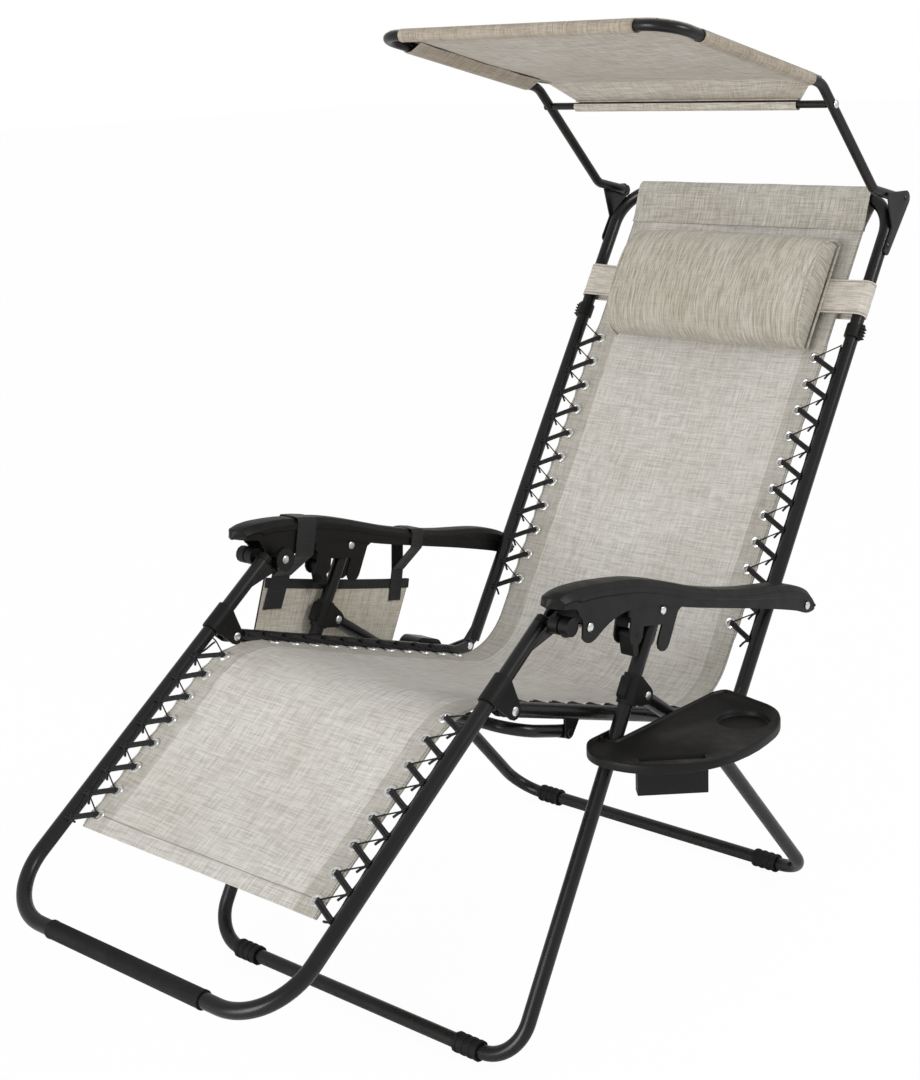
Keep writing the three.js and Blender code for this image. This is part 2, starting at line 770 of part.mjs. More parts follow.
function joinBothSides(body, extra) {
  return body.add(extra).add(extra.mirror([0, 0, 1]));
}

// Front floor legs: one bent tube hung on the armrest brackets.
function frontLegFrame() {
  const path = uFrame([[V(-LEG_HEAD, 0, LEGS_X), 0], [V(frontBarU, 0, LEGS_X), FRONT_BEND_R]]);
  return cutBothSides(solid(tube(path, TUBE_R, TUBE_WALL)), pinHole(0, 0, LEGS_X));
}

// Rear floor legs: a gentle knuckle below the seat, then down to the floor bar.
function rearLegFrame() {
  const knuckle = inFrame(rearLeg, rearKnuckle);
  const bar = inFrame(rearLeg, rearBar);
  const path = uFrame([
    [V(-REAR_HEAD, 0, LEGS_X), 0],
    [V(knuckle.x, knuckle.y, LEGS_X), REAR_KNUCKLE_R],
    [V(bar.x, bar.y, LEGS_X), REAR_BEND_R],
  ]);
  return cutBothSides(solid(tube(path, TUBE_R, TUBE_WALL)), pinHole(0, 0, LEGS_X));
}

// Ribbed rubber pad round a floor bar, worn flat where it stands.
function footPad(bendRadius) {
  const x = LEGS_X - bendRadius - PAD_LENGTH / 2 - FIT;
  const pitch = PAD_LENGTH / (2 * PAD_RIBS + 1);
  const profile = [[clearing(TUBE_R), x - PAD_LENGTH / 2]];
  for (let k = 0; k <= 2 * PAD_RIBS; k++) {
    const r = PAD_R - (k % 2) * PAD_RIB;
    profile.push([r, x - PAD_LENGTH / 2 + k * pitch], [r, x - PAD_LENGTH / 2 + (k + 1) * pitch]);
  }
  profile.push([clearing(TUBE_R), x + PAD_LENGTH / 2], [clearing(TUBE_R), x - PAD_LENGTH / 2]);
  const floor = new THREE.BoxGeometry(OVERRUN + PAD_R, OVERRUN, PAD_LENGTH + OVERRUN);
  floor.translate(0, -FLOOR_BAR_Z - OVERRUN / 2, x);
  return cut(solid(turned(profile, 0, 0, TUBE_SIDES)), solid(floor));
}

// Clamp: a sleeve on the front leg whose two cheeks carry the rear leg, with a bolt hump in front.
function legClamp() {
  const outer = TUBE_R + FIT + PLATE_T;
  const edge = CLAMP_LENGTH / 2 - CLAMP_EDGE_R;
  const cheek = hull([
    [CLAMP_U - edge, 0, CLAMP_EDGE_R], [CLAMP_U + edge, 0, CLAMP_EDGE_R], [CLAMP_U, CLAMP_OFFSET, CLAMP_EYE_R],
  ]);
  const sleeve = solid(collar(clearing(TUBE_R), outer + FIT, CLAMP_U - CLAMP_LENGTH / 2, CLAMP_U + CLAMP_LENGTH / 2, 0, LEGS_X));
  const humpW = -outer;
  const hump = hull([
    [CLAMP_U - CLAMP_HUMP_LENGTH / 2, humpW, CLAMP_HUMP_R], [CLAMP_U + CLAMP_HUMP_LENGTH / 2, humpW, CLAMP_HUMP_R],
  ]);
  const bore = turnedAlong([
    [0, CLAMP_U - OVERRUN], [clearing(TUBE_R), CLAMP_U - OVERRUN], [clearing(TUBE_R), CLAMP_U + OVERRUN],
    [0, CLAMP_U + OVERRUN],
  ], 0, LEGS_X);
  const whole = joined(
    sleeve,
    solid(plate(cheek, LEGS_X + TUBE_R + FIT, LEGS_X + outer)),
    solid(plate(cheek, LEGS_X - outer, LEGS_X - TUBE_R - FIT)),
    solid(plate(hump, LEGS_X - CLAMP_HUMP_HALF, LEGS_X + CLAMP_HUMP_HALF)),
  );
  return cut(whole, solid(bore), solid(pinHole(CLAMP_U, CLAMP_OFFSET, LEGS_X)));
}

function legRivet() {
  const reach = TUBE_R + FIT + PLATE_T + FIT;
  return rivetSolid(LEGS_X - reach, LEGS_X + reach, CLAMP_U, CLAMP_OFFSET);
}

// Height of the armrest's upper and lower edge over the pivot line.
const armTop = (v) => smooth(ARM_TOP_SHARES, v / armSpan) * ARM_RISE;
const armBottom = (v) => Math.min(smooth(ARM_BOTTOM_SHARES, v / armSpan) * ARM_RISE, armTop(v) - ARM_MIN_HEIGHT);
const armStart = ARM_TOP_SHARES[0][0] * armSpan;
const armEnd = ARM_TOP_SHARES[ARM_TOP_SHARES.length - 1][0] * armSpan;

function armStations(inset) {
  const places = new Set(ARM_TOP_SHARES.map(([s]) => s * armSpan));
  for (let k = 0; k <= ARM_STATIONS; k++) {
    places.add(THREE.MathUtils.lerp(armStart, armEnd, k / ARM_STATIONS));
  }
  const sorted = [...places].sort((a, b) => a - b);
  const inside = sorted.filter((v) => v > armStart + inset && v < armEnd - inset);
  const kept = inside.filter((v, i) => i === 0 || v - inside[i - 1] > ARM_WALL);
  return inset > 0 ? [armStart + inset, ...kept.slice(1, -1), armEnd - inset] : [armStart, ...kept.slice(1, -1), armEnd];
}

// An edge's height where the armrest runs straight between its stations.
function onStations(edge, stations, v) {
  const i = Math.max(1, stations.findIndex((place) => place >= v));
  const t = (v - stations[i - 1]) / (stations[i] - stations[i - 1]);
  return THREE.MathUtils.lerp(edge(stations[i - 1]), edge(stations[i]), t);
}

const armRoof = (v) => onStations(armTop, armStations(ARM_WALL), v) - ARM_TOP_T;

// Armrest: an open moulded channel with a stepped rim and chamfered top.
function armrest() {
  const half = ARM_WIDTH / 2;
  const skirt = half - ARM_RIM_STEP;
  const bumper = inFrame(arm, sidePoint(legRest, bumperU, LEG_AXIS_RISE));
  const outer = loft(armStations(0).map((v) => {
    const top = armTop(v);
    const low = armBottom(v);
    const height = top - low;
    const rim = top - Math.min(ARM_RIM_DROP, height / 2);
    const ledge = rim - Math.min(ARM_RIM_STEP, height / 4);
    const shoulder = top - Math.min(ARM_CHAMFER, height / 4);
    const side = [[skirt, low], [skirt, ledge], [half, rim], [half, shoulder], [half - ARM_CHAMFER, top]];
    const other = side.map(([x, w]) => [-x, w]).reverse();
    return [...side, ...other].map(([x, w]) => V(v, w, LEGS_X + x));
  }));
  const hollowHalf = skirt - ARM_WALL;
  const hollow = loft(armStations(ARM_WALL).map((v) => {
    const top = armTop(v) - ARM_TOP_T;
    const side = [[hollowHalf, -ARM_RISE - OVERRUN], [hollowHalf, top - ARM_CHAMFER], [hollowHalf - ARM_CHAMFER, top]];
    const other = side.map(([x, w]) => [-x, w]).reverse();
    return [...side, ...other].map(([x, w]) => V(v, w, LEGS_X + x));
  }));
  return cut(
    solid(outer),
    solid(hollow),
    solid(drum(ARM_ARCH_R, LEGS_X - OVERRUN, LEGS_X + OVERRUN, bumper.x, bumper.y)),
    solid(pinHole(0, 0, LEGS_X)),
    solid(pinHole(armSpan, 0, LEGS_X)),
  );
}

// Bracket: two cheeks under the armrest, forked round the front leg, joined by a web against the armrest's roof.
function armBracket() {
  const inner = TUBE_R + BRACKET_SIDE_GAP;
  const outerX = inner + PLATE_T;
  const webHalf = ARM_WIDTH / 2 - ARM_RIM_STEP - ARM_WALL - ARM_CHAMFER - FIT;
  const ceiling = (v) => armRoof(v) - FIT;
  const shoulder = (v) => ceiling(v) - ARM_CHAMFER;
  const between = armStations(ARM_WALL).filter((v) => v > BRACKET_FRONT_V && v < BRACKET_REAR_V);
  const topEdge = [BRACKET_FRONT_V, ...between, BRACKET_REAR_V];
  const cheek = [
    ...[...topEdge].reverse().map((v) => new THREE.Vector2(v, shoulder(v))),
    new THREE.Vector2(BRACKET_FRONT_V, BRACKET_WAIST_W + FRONT_LOBE_R),
    new THREE.Vector2(FRONT_LOBE_V, BRACKET_WAIST_W),
    new THREE.Vector2(REAR_LOBE_V, BRACKET_WAIST_W),
    new THREE.Vector2(BRACKET_REAR_V, BRACKET_WAIST_W + 2 * REAR_LOBE_R),
  ];
  const frontLobe = hull([[FRONT_LOBE_V, FRONT_LOBE_W, FRONT_LOBE_R], [FRONT_LOBE_V, LOBE_ROOT_W, FRONT_LOBE_R]]);
  const rearLobe = hull([[REAR_LOBE_V, REAR_LOBE_W, REAR_LOBE_R], [REAR_LOBE_V + REAR_LOBE_R, LOBE_ROOT_W, REAR_LOBE_R]]);
  const cheekSolid = (x0, x1) => joined(...[cheek, frontLobe, rearLobe].map((o) => solid(plate(o, x0, x1))));
  const web = [
    ...[...topEdge].reverse().map((v) => new THREE.Vector2(v, ceiling(v))),
    ...topEdge.map((v) => new THREE.Vector2(v, shoulder(v) - BRACKET_WEB_T)),
  ];
  const whole = joined(
    cheekSolid(LEGS_X + inner, LEGS_X + outerX),
    cheekSolid(LEGS_X - outerX, LEGS_X - inner),
    solid(plate(web, LEGS_X - webHalf, LEGS_X + webHalf)),
  );
  return cut(
    whole,
    solid(pinHole(LEG_PIVOT_V, LEG_PIVOT_W, LEGS_X)),
    solid(pinHole(FRONT_LOBE_V, FRONT_LOBE_W, LEGS_X, LEVER_PIN_R)),
  );
}

function armRivet() {
  const reach = TUBE_R + BRACKET_SIDE_GAP + PLATE_T + FIT;
  return rivetSolid(LEGS_X - reach, LEGS_X + reach, LEG_PIVOT_V, LEG_PIVOT_W);
}

// Lock lever: a finger tab that swings on its own pin between the front lobes.
function lockLever() {
  const half = TUBE_R + BRACKET_SIDE_GAP - LEVER_SIDE_GAP;
  const outline = hull([
    [FRONT_LOBE_V, FRONT_LOBE_W, LEVER_HUB_R], [LEVER_TIP_V, LEVER_TIP_W, LEVER_TIP_R],
  ]);
  const pinHalf = TUBE_R + BRACKET_SIDE_GAP + PLATE_T;
  return joined(
    solid(plate(outline, LEGS_X - half, LEGS_X + half)),
    solid(drum(LEVER_PIN_R, LEGS_X - pinHalf, LEGS_X + pinHalf, FRONT_LOBE_V, FRONT_LOBE_W, RIVET_SIDES)),
  );
}

// Rivet of the leg rest: through its lug, spacer and both armrest walls.
function legPivotRivet() {
  const inboard = SEAT_X - LUG_T / 2 - ARM_DISC_INSET - ARM_DISC_T - FIT;
  return rivetSolid(inboard, LEGS_X + ARM_WIDTH / 2 - ARM_RIM_STEP + FIT, 0, 0);
}

// Rear rivet of the armrest; its inner end stops short of the back frame's lug.
function backArmRivet() {
  const inboard = SEAT_X + TUBE_R + FIT;
  return rivetSolid(inboard, LEGS_X + ARM_WIDTH / 2 - ARM_RIM_STEP + FIT, armSpan, 0, PIN_R, false, true);
}

// Places shared by the leg rest's tube end and the plug in it.
const bumperU = LEG_TOP_U + FIT + BUMPER_CAP_T / 2;
const plugRadius = (TUBE_R - TUBE_WALL) * Math.cos(Math.PI / BORE_SIDES) - FIT;

// Leg rest: a long U tube, with a lug below its upper end for the armrest pivot.
function legRestFrame() {
  const path = uFrame([[V(LEG_TOP_U, LEG_AXIS_RISE, SEAT_X), 0], [V(FOOT_BAR_U, LEG_AXIS_RISE, SEAT_X), FOOT_BEND_R]]);
  const lug = hull([
    [ARM_PIVOT_U, ARM_PIVOT_W, LUG_EYE_R],
    [LUG_ROOT_U, LEG_AXIS_RISE - LUG_ROOT_R / 2, LUG_ROOT_R],
    [LEG_TOP_U - LUG_ROOT_R, LEG_AXIS_RISE - LUG_ROOT_R, LUG_ROOT_R],
  ]);
  const discX = SEAT_X - LUG_T / 2 - ARM_DISC_INSET;
  const extras = joined(
    solid(plate(lug, SEAT_X - LUG_T / 2, SEAT_X + LUG_T / 2)),
    solid(drum(ARM_DISC_R, discX - ARM_DISC_T, discX, ARM_PIVOT_U, ARM_PIVOT_W)),
    solid(drum(SPACER_R, discX - FIT, LEGS_X - ARM_WIDTH / 2 + ARM_RIM_STEP - FIT, ARM_PIVOT_U, ARM_PIVOT_W)),
  );
  const body = joinBothSides(solid(tube(path, TUBE_R, TUBE_WALL)), extras);
  const plugStart = LEG_TOP_U - BUMPER_PLUG_LENGTH;
  const plugRoom = turnedAlong([
    [0, plugStart], [plugRadius + FIT, plugStart], [plugRadius + FIT, LEG_TOP_U], [clearing(TUBE_R), LEG_TOP_U],
    [clearing(TUBE_R), LEG_TOP_U + OVERRUN], [0, LEG_TOP_U + OVERRUN],
  ], LEG_AXIS_RISE, SEAT_X);
  return cutBothSides(cutBothSides(body, pinHole(ARM_PIVOT_U, ARM_PIVOT_W, SEAT_X)), plugRoom);
}

// Thicker foam sleeve round the foot bar.
function footSleeve() {
  const inner = clearing(TUBE_R);
  const outer = inner + FOOT_SLEEVE_WALL;
  const profile = [
    [inner, -FOOT_SLEEVE_HALF], [outer, -FOOT_SLEEVE_HALF], [outer, FOOT_SLEEVE_HALF],
    [inner, FOOT_SLEEVE_HALF], [inner, -FOOT_SLEEVE_HALF],
  ];
  return turned(profile, FOOT_BAR_U, LEG_AXIS_RISE);
}

// Knee clamp: a sleeve on the leg rest whose cheeks carry the front of the seat rail.
function kneeClamp() {
  const inner = TUBE_R + FIT;
  const outer = inner + PLATE_T;
  const edge = KNEE_CLAMP_LENGTH / 2 - CLAMP_EDGE_R;
  const cheek = hull([
    [-edge, LEG_AXIS_RISE, CLAMP_EDGE_R], [edge, LEG_AXIS_RISE, CLAMP_EDGE_R], [0, 0, KNEE_EYE_R],
  ]);
  const whole = joined(
    solid(collar(clearing(TUBE_R), outer + FIT, -KNEE_CLAMP_LENGTH / 2, KNEE_CLAMP_LENGTH / 2, LEG_AXIS_RISE, SEAT_X)),
    solid(plate(cheek, SEAT_X + inner, SEAT_X + outer)),
    solid(plate(cheek, SEAT_X - outer, SEAT_X - inner)),
  );
  return cut(whole, solid(pinHole(0, 0, SEAT_X)));
}

function kneeRivet() {
  const reach = TUBE_R + FIT + PLATE_T + FIT;
  return rivetSolid(SEAT_X - reach, SEAT_X + reach, 0, 0);
}

// Ribbed bumper: a plug in the top of the leg rest tube with a barrel that turns under the armrest.
function legBumper() {
  const start = LEG_TOP_U + FIT;
  const end = start + BUMPER_CAP_T;
  const cap = turnedAlong([
    [0, start - BUMPER_PLUG_LENGTH], [plugRadius, start - BUMPER_PLUG_LENGTH], [plugRadius, start], [TUBE_R, start],
    [TUBE_R, end - BUMPER_CAP_EDGE], [TUBE_R - BUMPER_CAP_EDGE, end], [0, end],
  ], LEG_AXIS_RISE, SEAT_X);
  const shell = ARM_WIDTH / 2 - ARM_RIM_STEP - ARM_WALL - BUMPER_SIDE_GAP;
  const x0 = LEGS_X - shell;
  const x1 = LEGS_X + shell;
  const mid = (x0 + x1) / 2;
  const groove = BUMPER_GROOVE_W / 2;
  const barrel = turned([
    [0, x0], [BUMPER_R, x0], [BUMPER_R, mid - groove], [BUMPER_GROOVE_R, mid - groove],
    [BUMPER_GROOVE_R, mid + groove], [BUMPER_R, mid + groove], [BUMPER_R, x1], [0, x1],
  ], bumperU, LEG_AXIS_RISE);
  const pin = drum(BUMPER_PIN_R, SEAT_X, x0 + BUMPER_SIDE_GAP, bumperU, LEG_AXIS_RISE, RIVET_SIDES);
  return joined(solid(cap), solid(pin), solid(barrel));
}

// Seat rail: tube with a fork at the hip, a lug for the cross bar and a rest that sits on the rear leg.
function seatRail() {
  const end = HIP_U - HIP_SETBACK;
  const rail = tube(route([[V(SEAT_FRONT_U, 0, SEAT_X), 0], [V(end, 0, SEAT_X), 0]]), TUBE_R, TUBE_WALL);
  const cheek = hull([
    [HIP_U, HIP_W, HIP_EYE_R], [HIP_U - HIP_ROOT / 2, 0, HIP_ROOT_R], [HIP_U - HIP_ROOT, 0, HIP_ROOT_R],
  ]);
  const gap = HIP_LUG_T / 2 + FIT;
  const lug = hull([
    [CROSS_LUG_U, CROSS_LUG_W, CROSS_EYE_R],
    [CROSS_LUG_U - CROSS_LUG_ROOT, -TUBE_R / 2, TUBE_R / 3],
    [CROSS_LUG_U + CROSS_LUG_ROOT, -TUBE_R / 2, TUBE_R / 3],
  ]);
  const lugX = SEAT_X + CROSS_EYE_T / 2 + FIT;
  const body = joined(
    solid(rail),
    solid(plate(cheek, SEAT_X + gap, SEAT_X + gap + HIP_CHEEK_T)),
    solid(plate(cheek, SEAT_X - gap - HIP_CHEEK_T, SEAT_X - gap)),
    solid(plate(lug, lugX, lugX + CROSS_LUG_T)),
    solid(seatRest()),
  );
  return cut(
    body,
    solid(pinHole(0, 0, SEAT_X)),
    solid(pinHole(HIP_U, HIP_W, SEAT_X)),
    solid(drum(LEVER_PIN_R + FIT, lugX - FIT, lugX + OVERRUN, CROSS_LUG_U, CROSS_LUG_W, RIVET_SIDES)),
  );
}

// The rest: a round-ended block outside the rail, as deep as the space down to the rear leg.
function seatRest() {
  const under = inFrame(rearLeg, sidePoint(seat, SEAT_REST_U, 0)).y;
  const radius = under - TUBE_R - SEAT_REST_GAP;
  const outline = hull([[SEAT_REST_U, 0, radius], [SEAT_REST_U + SEAT_REST_LENGTH, 0, radius]]);
  return plate(outline, SEAT_X + TUBE_R - TUBE_WALL, LEGS_X + TUBE_R);
}

// Cross bar: a thinner U tube, flattened at its ends and riveted to the rail lugs.
function seatCrossBar() {
  const path = uFrame([
    [V(CROSS_LUG_U - 2 * CROSS_EYE_R, CROSS_LUG_W, SEAT_X), 0],
    [V(CROSS_BAR_U, CROSS_BAR_W, SEAT_X), CROSS_BAR_BEND_R],
  ]);
  const eye = hull([
    [CROSS_LUG_U, CROSS_LUG_W, CROSS_EYE_R], [CROSS_LUG_U - 3 * CROSS_EYE_R, CROSS_LUG_W, CROSS_BAR_R - TUBE_WALL / 2],
  ]);
  const lugX = SEAT_X + CROSS_EYE_T / 2 + FIT;
  const extras = joined(
    solid(plate(eye, SEAT_X - CROSS_EYE_T / 2, SEAT_X + CROSS_EYE_T / 2)),
    solid(rivetSolid(SEAT_X, lugX + CROSS_LUG_T + FIT, CROSS_LUG_U, CROSS_LUG_W, LEVER_PIN_R, false, true)),
  );
  return joinBothSides(solid(tube(path, CROSS_BAR_R, TUBE_WALL, THIN_SIDES)), extras);
}

function hipRivet() {
  const reach = HIP_LUG_T / 2 + FIT + HIP_CHEEK_T + FIT;
  return rivetSolid(SEAT_X - reach, SEAT_X + reach, HIP_U, HIP_W);
}

// Back frame: a tall U tube with hip lugs at its feet and lugs behind for the armrests.
function backFrame() {
  const path = uFrame([[V(BACK_START_U, BACK_AXIS_W, SEAT_X), 0], [V(BACK_TOP_U, BACK_AXIS_W, SEAT_X), BACK_BEND_R]]);
  const foot = hull([
    [0, 0, HIP_EYE_R], [HIP_SETBACK + HIP_ROOT_R, BACK_AXIS_W, HIP_ROOT_R], [HIP_ROOT, BACK_AXIS_W, HIP_ROOT_R],
  ]);
  const lug = hull([
    [BACK_ARM_U, BACK_ARM_W, BACK_LUG_EYE_R],
    [BACK_ARM_U - BACK_LUG_ROOT, BACK_AXIS_W, TUBE_R / 3],
    [BACK_ARM_U + BACK_LUG_ROOT, BACK_AXIS_W, TUBE_R / 3],
  ]);
  const extras = joined(
    solid(plate(foot, SEAT_X - HIP_LUG_T / 2, SEAT_X + HIP_LUG_T / 2)),
    solid(plate(lug, SEAT_X + TUBE_R - BACK_LUG_T, SEAT_X + TUBE_R)),
  );
  const body = joinBothSides(solid(tube(path, TUBE_R, TUBE_WALL)), extras);
  const bracketPin = drum(BRACKET_PIN_R + FIT, SEAT_X, SEAT_X + OVERRUN, bracketPinU, BACK_AXIS_W, RIVET_SIDES);
  return cutBothSides(cutBothSides(body, pinHole(0, 0, SEAT_X)), bracketPin);
}

// Sling path in the side view: the axis lines of leg rest, seat and back joined by two curves.
function meet(p, d, q, e) {
  const t = ((q.x - p.x) * e.y - (q.y - p.y) * e.x) / (d.x * e.y - d.y * e.x);
  return p.clone().addScaledVector(d, t);
}

const kneeCorner = meet(sidePoint(legRest, 0, LEG_AXIS_RISE), along(LEG_REST_SLOPE), knee, along(SEAT_SLOPE));
const hipCorner = meet(knee, along(SEAT_SLOPE), sidePoint(back, 0, BACK_AXIS_W), along(BACK_SLOPE));
const slingStart = sidePoint(legRest, SLING_START_U, LEG_AXIS_RISE);
const slingEnd = sidePoint(back, BACK_TOP_U - SLEEVE_DEPTH, BACK_AXIS_W);

function bendLength(corner, before, after, radius) {
  const a = before.clone().sub(corner);
  const b = after.clone().sub(corner);
  const turn = Math.PI - Math.acos(a.dot(b) / (a.length() * b.length()));
  return { turn, cutOff: radius * Math.tan(turn / 2), arc: radius * turn, legs: [a.length(), b.length()] };
}

const kneeBend = bendLength(kneeCorner, slingStart, hipCorner, KNEE_CURVE_R);
const hipBend = bendLength(hipCorner, kneeCorner, slingEnd, HIP_CURVE_R);
const legRun = kneeBend.legs[0] - kneeBend.cutOff;
const seatRun = hipBend.legs[0] - kneeBend.cutOff - hipBend.cutOff;
const backRun = hipBend.legs[1] - hipBend.cutOff;
const seatAt = legRun + kneeBend.arc;
const hipAt = seatAt + seatRun;
const backAt = hipAt + hipBend.arc;
const slingLength = backAt + backRun;

// Point and upward normal of the sling path at a length from the foot hem.
function slingAt(s) {
  const legDir = along(LEG_REST_SLOPE);
  const seatDir = along(SEAT_SLOPE);
  const backDir = along(BACK_SLOPE);
  const bend = (start, dir, radius, length, sign) => {
    const a = (sign * length) / radius;
    const n = across(dir);
    const centre = start.clone().addScaledVector(n, sign * radius);
    const d = dir.clone().rotateAround(new THREE.Vector2(0, 0), a);
    return { p: centre.addScaledVector(across(d), -sign * radius), d };
  };
  if (s <= legRun) {
    return { p: slingStart.clone().addScaledVector(legDir, s), d: legDir };
  }
  if (s <= seatAt) {
    return bend(slingStart.clone().addScaledVector(legDir, legRun), legDir, KNEE_CURVE_R, s - legRun, -1);
  }
  const seatStart = kneeCorner.clone().addScaledVector(seatDir, kneeBend.cutOff);
  if (s <= hipAt) {
    return { p: seatStart.addScaledVector(seatDir, s - seatAt), d: seatDir };
  }
  if (s <= backAt) {
    return bend(seatStart.addScaledVector(seatDir, seatRun), seatDir, HIP_CURVE_R, s - hipAt, 1);
  }
  return { p: hipCorner.clone().addScaledVector(backDir, hipBend.cutOff + s - backAt), d: backDir };
}

// How deep the cloth hangs in its middle at that length.
const SAG_TABLE = [
  [0, 0], [legRun / 2, SAG_LEG], [legRun + kneeBend.arc / 2, SAG_KNEE], [seatAt + seatRun / 2, SAG_SEAT],
  [hipAt + hipBend.arc / 2, SAG_HIP], [backAt + backRun / 2, SAG_BACK], [slingLength, 0],
];
const kneeSplit = legRun + kneeBend.arc * 0.7;
const hipSplit = hipAt + hipBend.arc / 2;

// Places along the back tubes, from the canopy bolt down: bracket, band with the pillow on it, clip.
const bracketFootU = CANOPY_PIVOT_U - BRACKET_LENGTH;
const bandU = bracketFootU - BRACKET_FOOT_R - BAND_BRACKET_GAP - BAND_WIDTH / 2;
const pillowU = bandU + PILLOW_BAND_SHIFT;
const strapClipU = bandU - BAND_WIDTH / 2 - STRAP_CLIP_GAP - STRAP_CLIP_LENGTH / 2;
const bracketPinU = bracketFootU + BRACKET_PIN_RISE;

function slingPanel(s0, s1) {
  const rows = Math.ceil((s1 - s0) / SLING_STEP);
  return sheet(rows, SLING_COLUMNS, SLING_T, (i, j) => {
    const s = THREE.MathUtils.lerp(s0, s1, i);
    const { p, d } = slingAt(s);
    const n = across(d);
    const x = THREE.MathUtils.lerp(-SLING_HALF, SLING_HALF, j);
    const drop = smooth(SAG_TABLE, s) * (1 - (x / SLING_HALF) ** 2);
    return [V(p.x - n.x * drop, p.y - n.y * drop, x), V(n.x, n.y, 0)];
  });
}

// The top of the back sling: a sleeve over the top bar, sewn to the panel.
function backSling() {
  const panel = solid(slingPanel(hipSplit + SLING_SPLIT_GAP / 2, slingLength + SLING_T));
  const top = sidePoint(back, BACK_TOP_U, BACK_AXIS_W);
  const dir = along(BACK_SLOPE);
  const seam = top.clone().addScaledVector(dir, -SLEEVE_DEPTH);
  const tip = top.clone().addScaledVector(dir, SLEEVE_TIP - SLEEVE_DEPTH);
  const outer = hull([[top.x, top.y, SLEEVE_R + SLING_T], [seam.x, seam.y, SLING_T / 2]]);
  const inner = hull([[top.x, top.y, SLEEVE_R], [tip.x, tip.y, FIT]]);
  return joined(panel, solid(plate(outer, -SLEEVE_HALF, SLEEVE_HALF, [inner])));
}

// Elastic cord: back and forth between the eyelets and the side tube, lying on the cloth.
function lacing(from, to, pitch) {
  const count = Math.floor((to - from) / pitch);
  const first = (from + to - count * pitch) / 2;
  const high = SLING_T / 2 + FIT + CORD_R;
  const tubeX = SEAT_X - Math.sqrt((TUBE_R + CORD_R + CORD_TUBE_GAP) ** 2 - high ** 2);
  const point = (s, x) => {
    const { p, d } = slingAt(s);
    const n = across(d);
    return V(p.x + n.x * high, p.y + n.y * high, x);
  };
  const stop = (s, x, half) => [[point(s - half, x), 0], [point(s + half, x), 0]];
  const corners = stop(first - pitch / 2, tubeX, CORD_TUBE_HALF);
  for (let k = 0; k <= count; k++) {
    corners.push(...stop(first + k * pitch, EYELET_X, CORD_EYELET_HALF));
    corners.push(...stop(first + (k + 0.5) * pitch, tubeX, CORD_TUBE_HALF));
  }
  return tube(route(corners), CORD_R, 0, CORD_SIDES);
}

// Pillow: a D-shaped bolster whose ends draw in.
function pillow() {
  const low = BACK_AXIS_W + TUBE_R + BAND_GAP - BAND_DIP + BAND_T + FIT;
  const rings = [];
  for (let i = 0; i <= PILLOW_STATIONS; i++) {
    const t = (2 * i) / PILLOW_STATIONS - 1;
    const draw = PILLOW_END_DRAW * t ** 4;
    const x = PILLOW_HALF * Math.sin((Math.PI / 2) * t);
    const half = PILLOW_LENGTH / 2 - draw;
    const high = PILLOW_THICK - 2 * draw;
    const row = [V(pillowU - half, low, x), V(pillowU + half, low, x)];
    for (let k = 1; k < PILLOW_RIM_STEPS; k++) {
      const a = (Math.PI * k) / PILLOW_RIM_STEPS;
      row.push(V(pillowU + half * Math.cos(a), low + high * Math.sin(a) ** 0.8, x));
    }
    rings.push(row);
  }
  return loft(rings);
}

// Band: a flat loop round both back tubes that holds the pillow.
function pillowBand() {
  const r = TUBE_R + BAND_GAP;
  const side = [new THREE.Vector2(BAND_INNER_X, BACK_AXIS_W + r - BAND_DIP)];
  for (let k = 0; k <= 8; k++) {
    const a = Math.PI / 2 - (Math.PI * k) / 8;
    side.push(new THREE.Vector2(SEAT_X + r * Math.cos(a), BACK_AXIS_W + r * Math.sin(a)));
  }
  side.push(new THREE.Vector2(SEAT_X / 2, BACK_AXIS_W - r - BAND_BACK_BOW));
  const inner = [...side, ...side.map((p) => new THREE.Vector2(-p.x, p.y)).reverse()];
  const outer = offset(inner, BAND_T);
  const g = new THREE.ExtrudeGeometry(shapeOf(outer, [inner]), { depth: BAND_WIDTH, bevelEnabled: false });
  g.applyMatrix4(new THREE.Matrix4().makeBasis(V(0, 0, 1), V(0, 1, 0), V(-1, 0, 0)));
  return g.translate(bandU + BAND_WIDTH / 2, 0, 0);
}

// Clip: a ring on the back tube with a ribbed thumb pad outside.
function strapClip() {
  const inner = clearing(TUBE_R);
  const outer = inner + STRAP_CLIP_WALL;
  const half = STRAP_CLIP_LENGTH / 2;
  const pitch = STRAP_CLIP_LENGTH / STRAP_CLIP_RIBS;
  const whole = [solid(collar(inner, outer, strapClipU - half, strapClipU + half, BACK_AXIS_W, SEAT_X))];
  for (let k = 0; k < STRAP_CLIP_RIBS; k++) {
    const u = strapClipU - half + (k + 0.25) * pitch;
    const rib = hull([[u, BACK_AXIS_W - TUBE_R / 2, pitch / 4], [u, BACK_AXIS_W + TUBE_R / 2, pitch / 4]], 8);
    whole.push(solid(plate(rib, SEAT_X + inner, SEAT_X + outer + STRAP_CLIP_PAD_T)));
  }
  const base = hull([
    [strapClipU - half + pitch / 2, BACK_AXIS_W, TUBE_R / 2], [strapClipU + half - pitch / 2, BACK_AXIS_W, TUBE_R / 2],
  ]);
  whole.push(solid(plate(base, SEAT_X + inner, SEAT_X + outer + STRAP_CLIP_PAD_T / 2)));
  return joined(...whole);
}

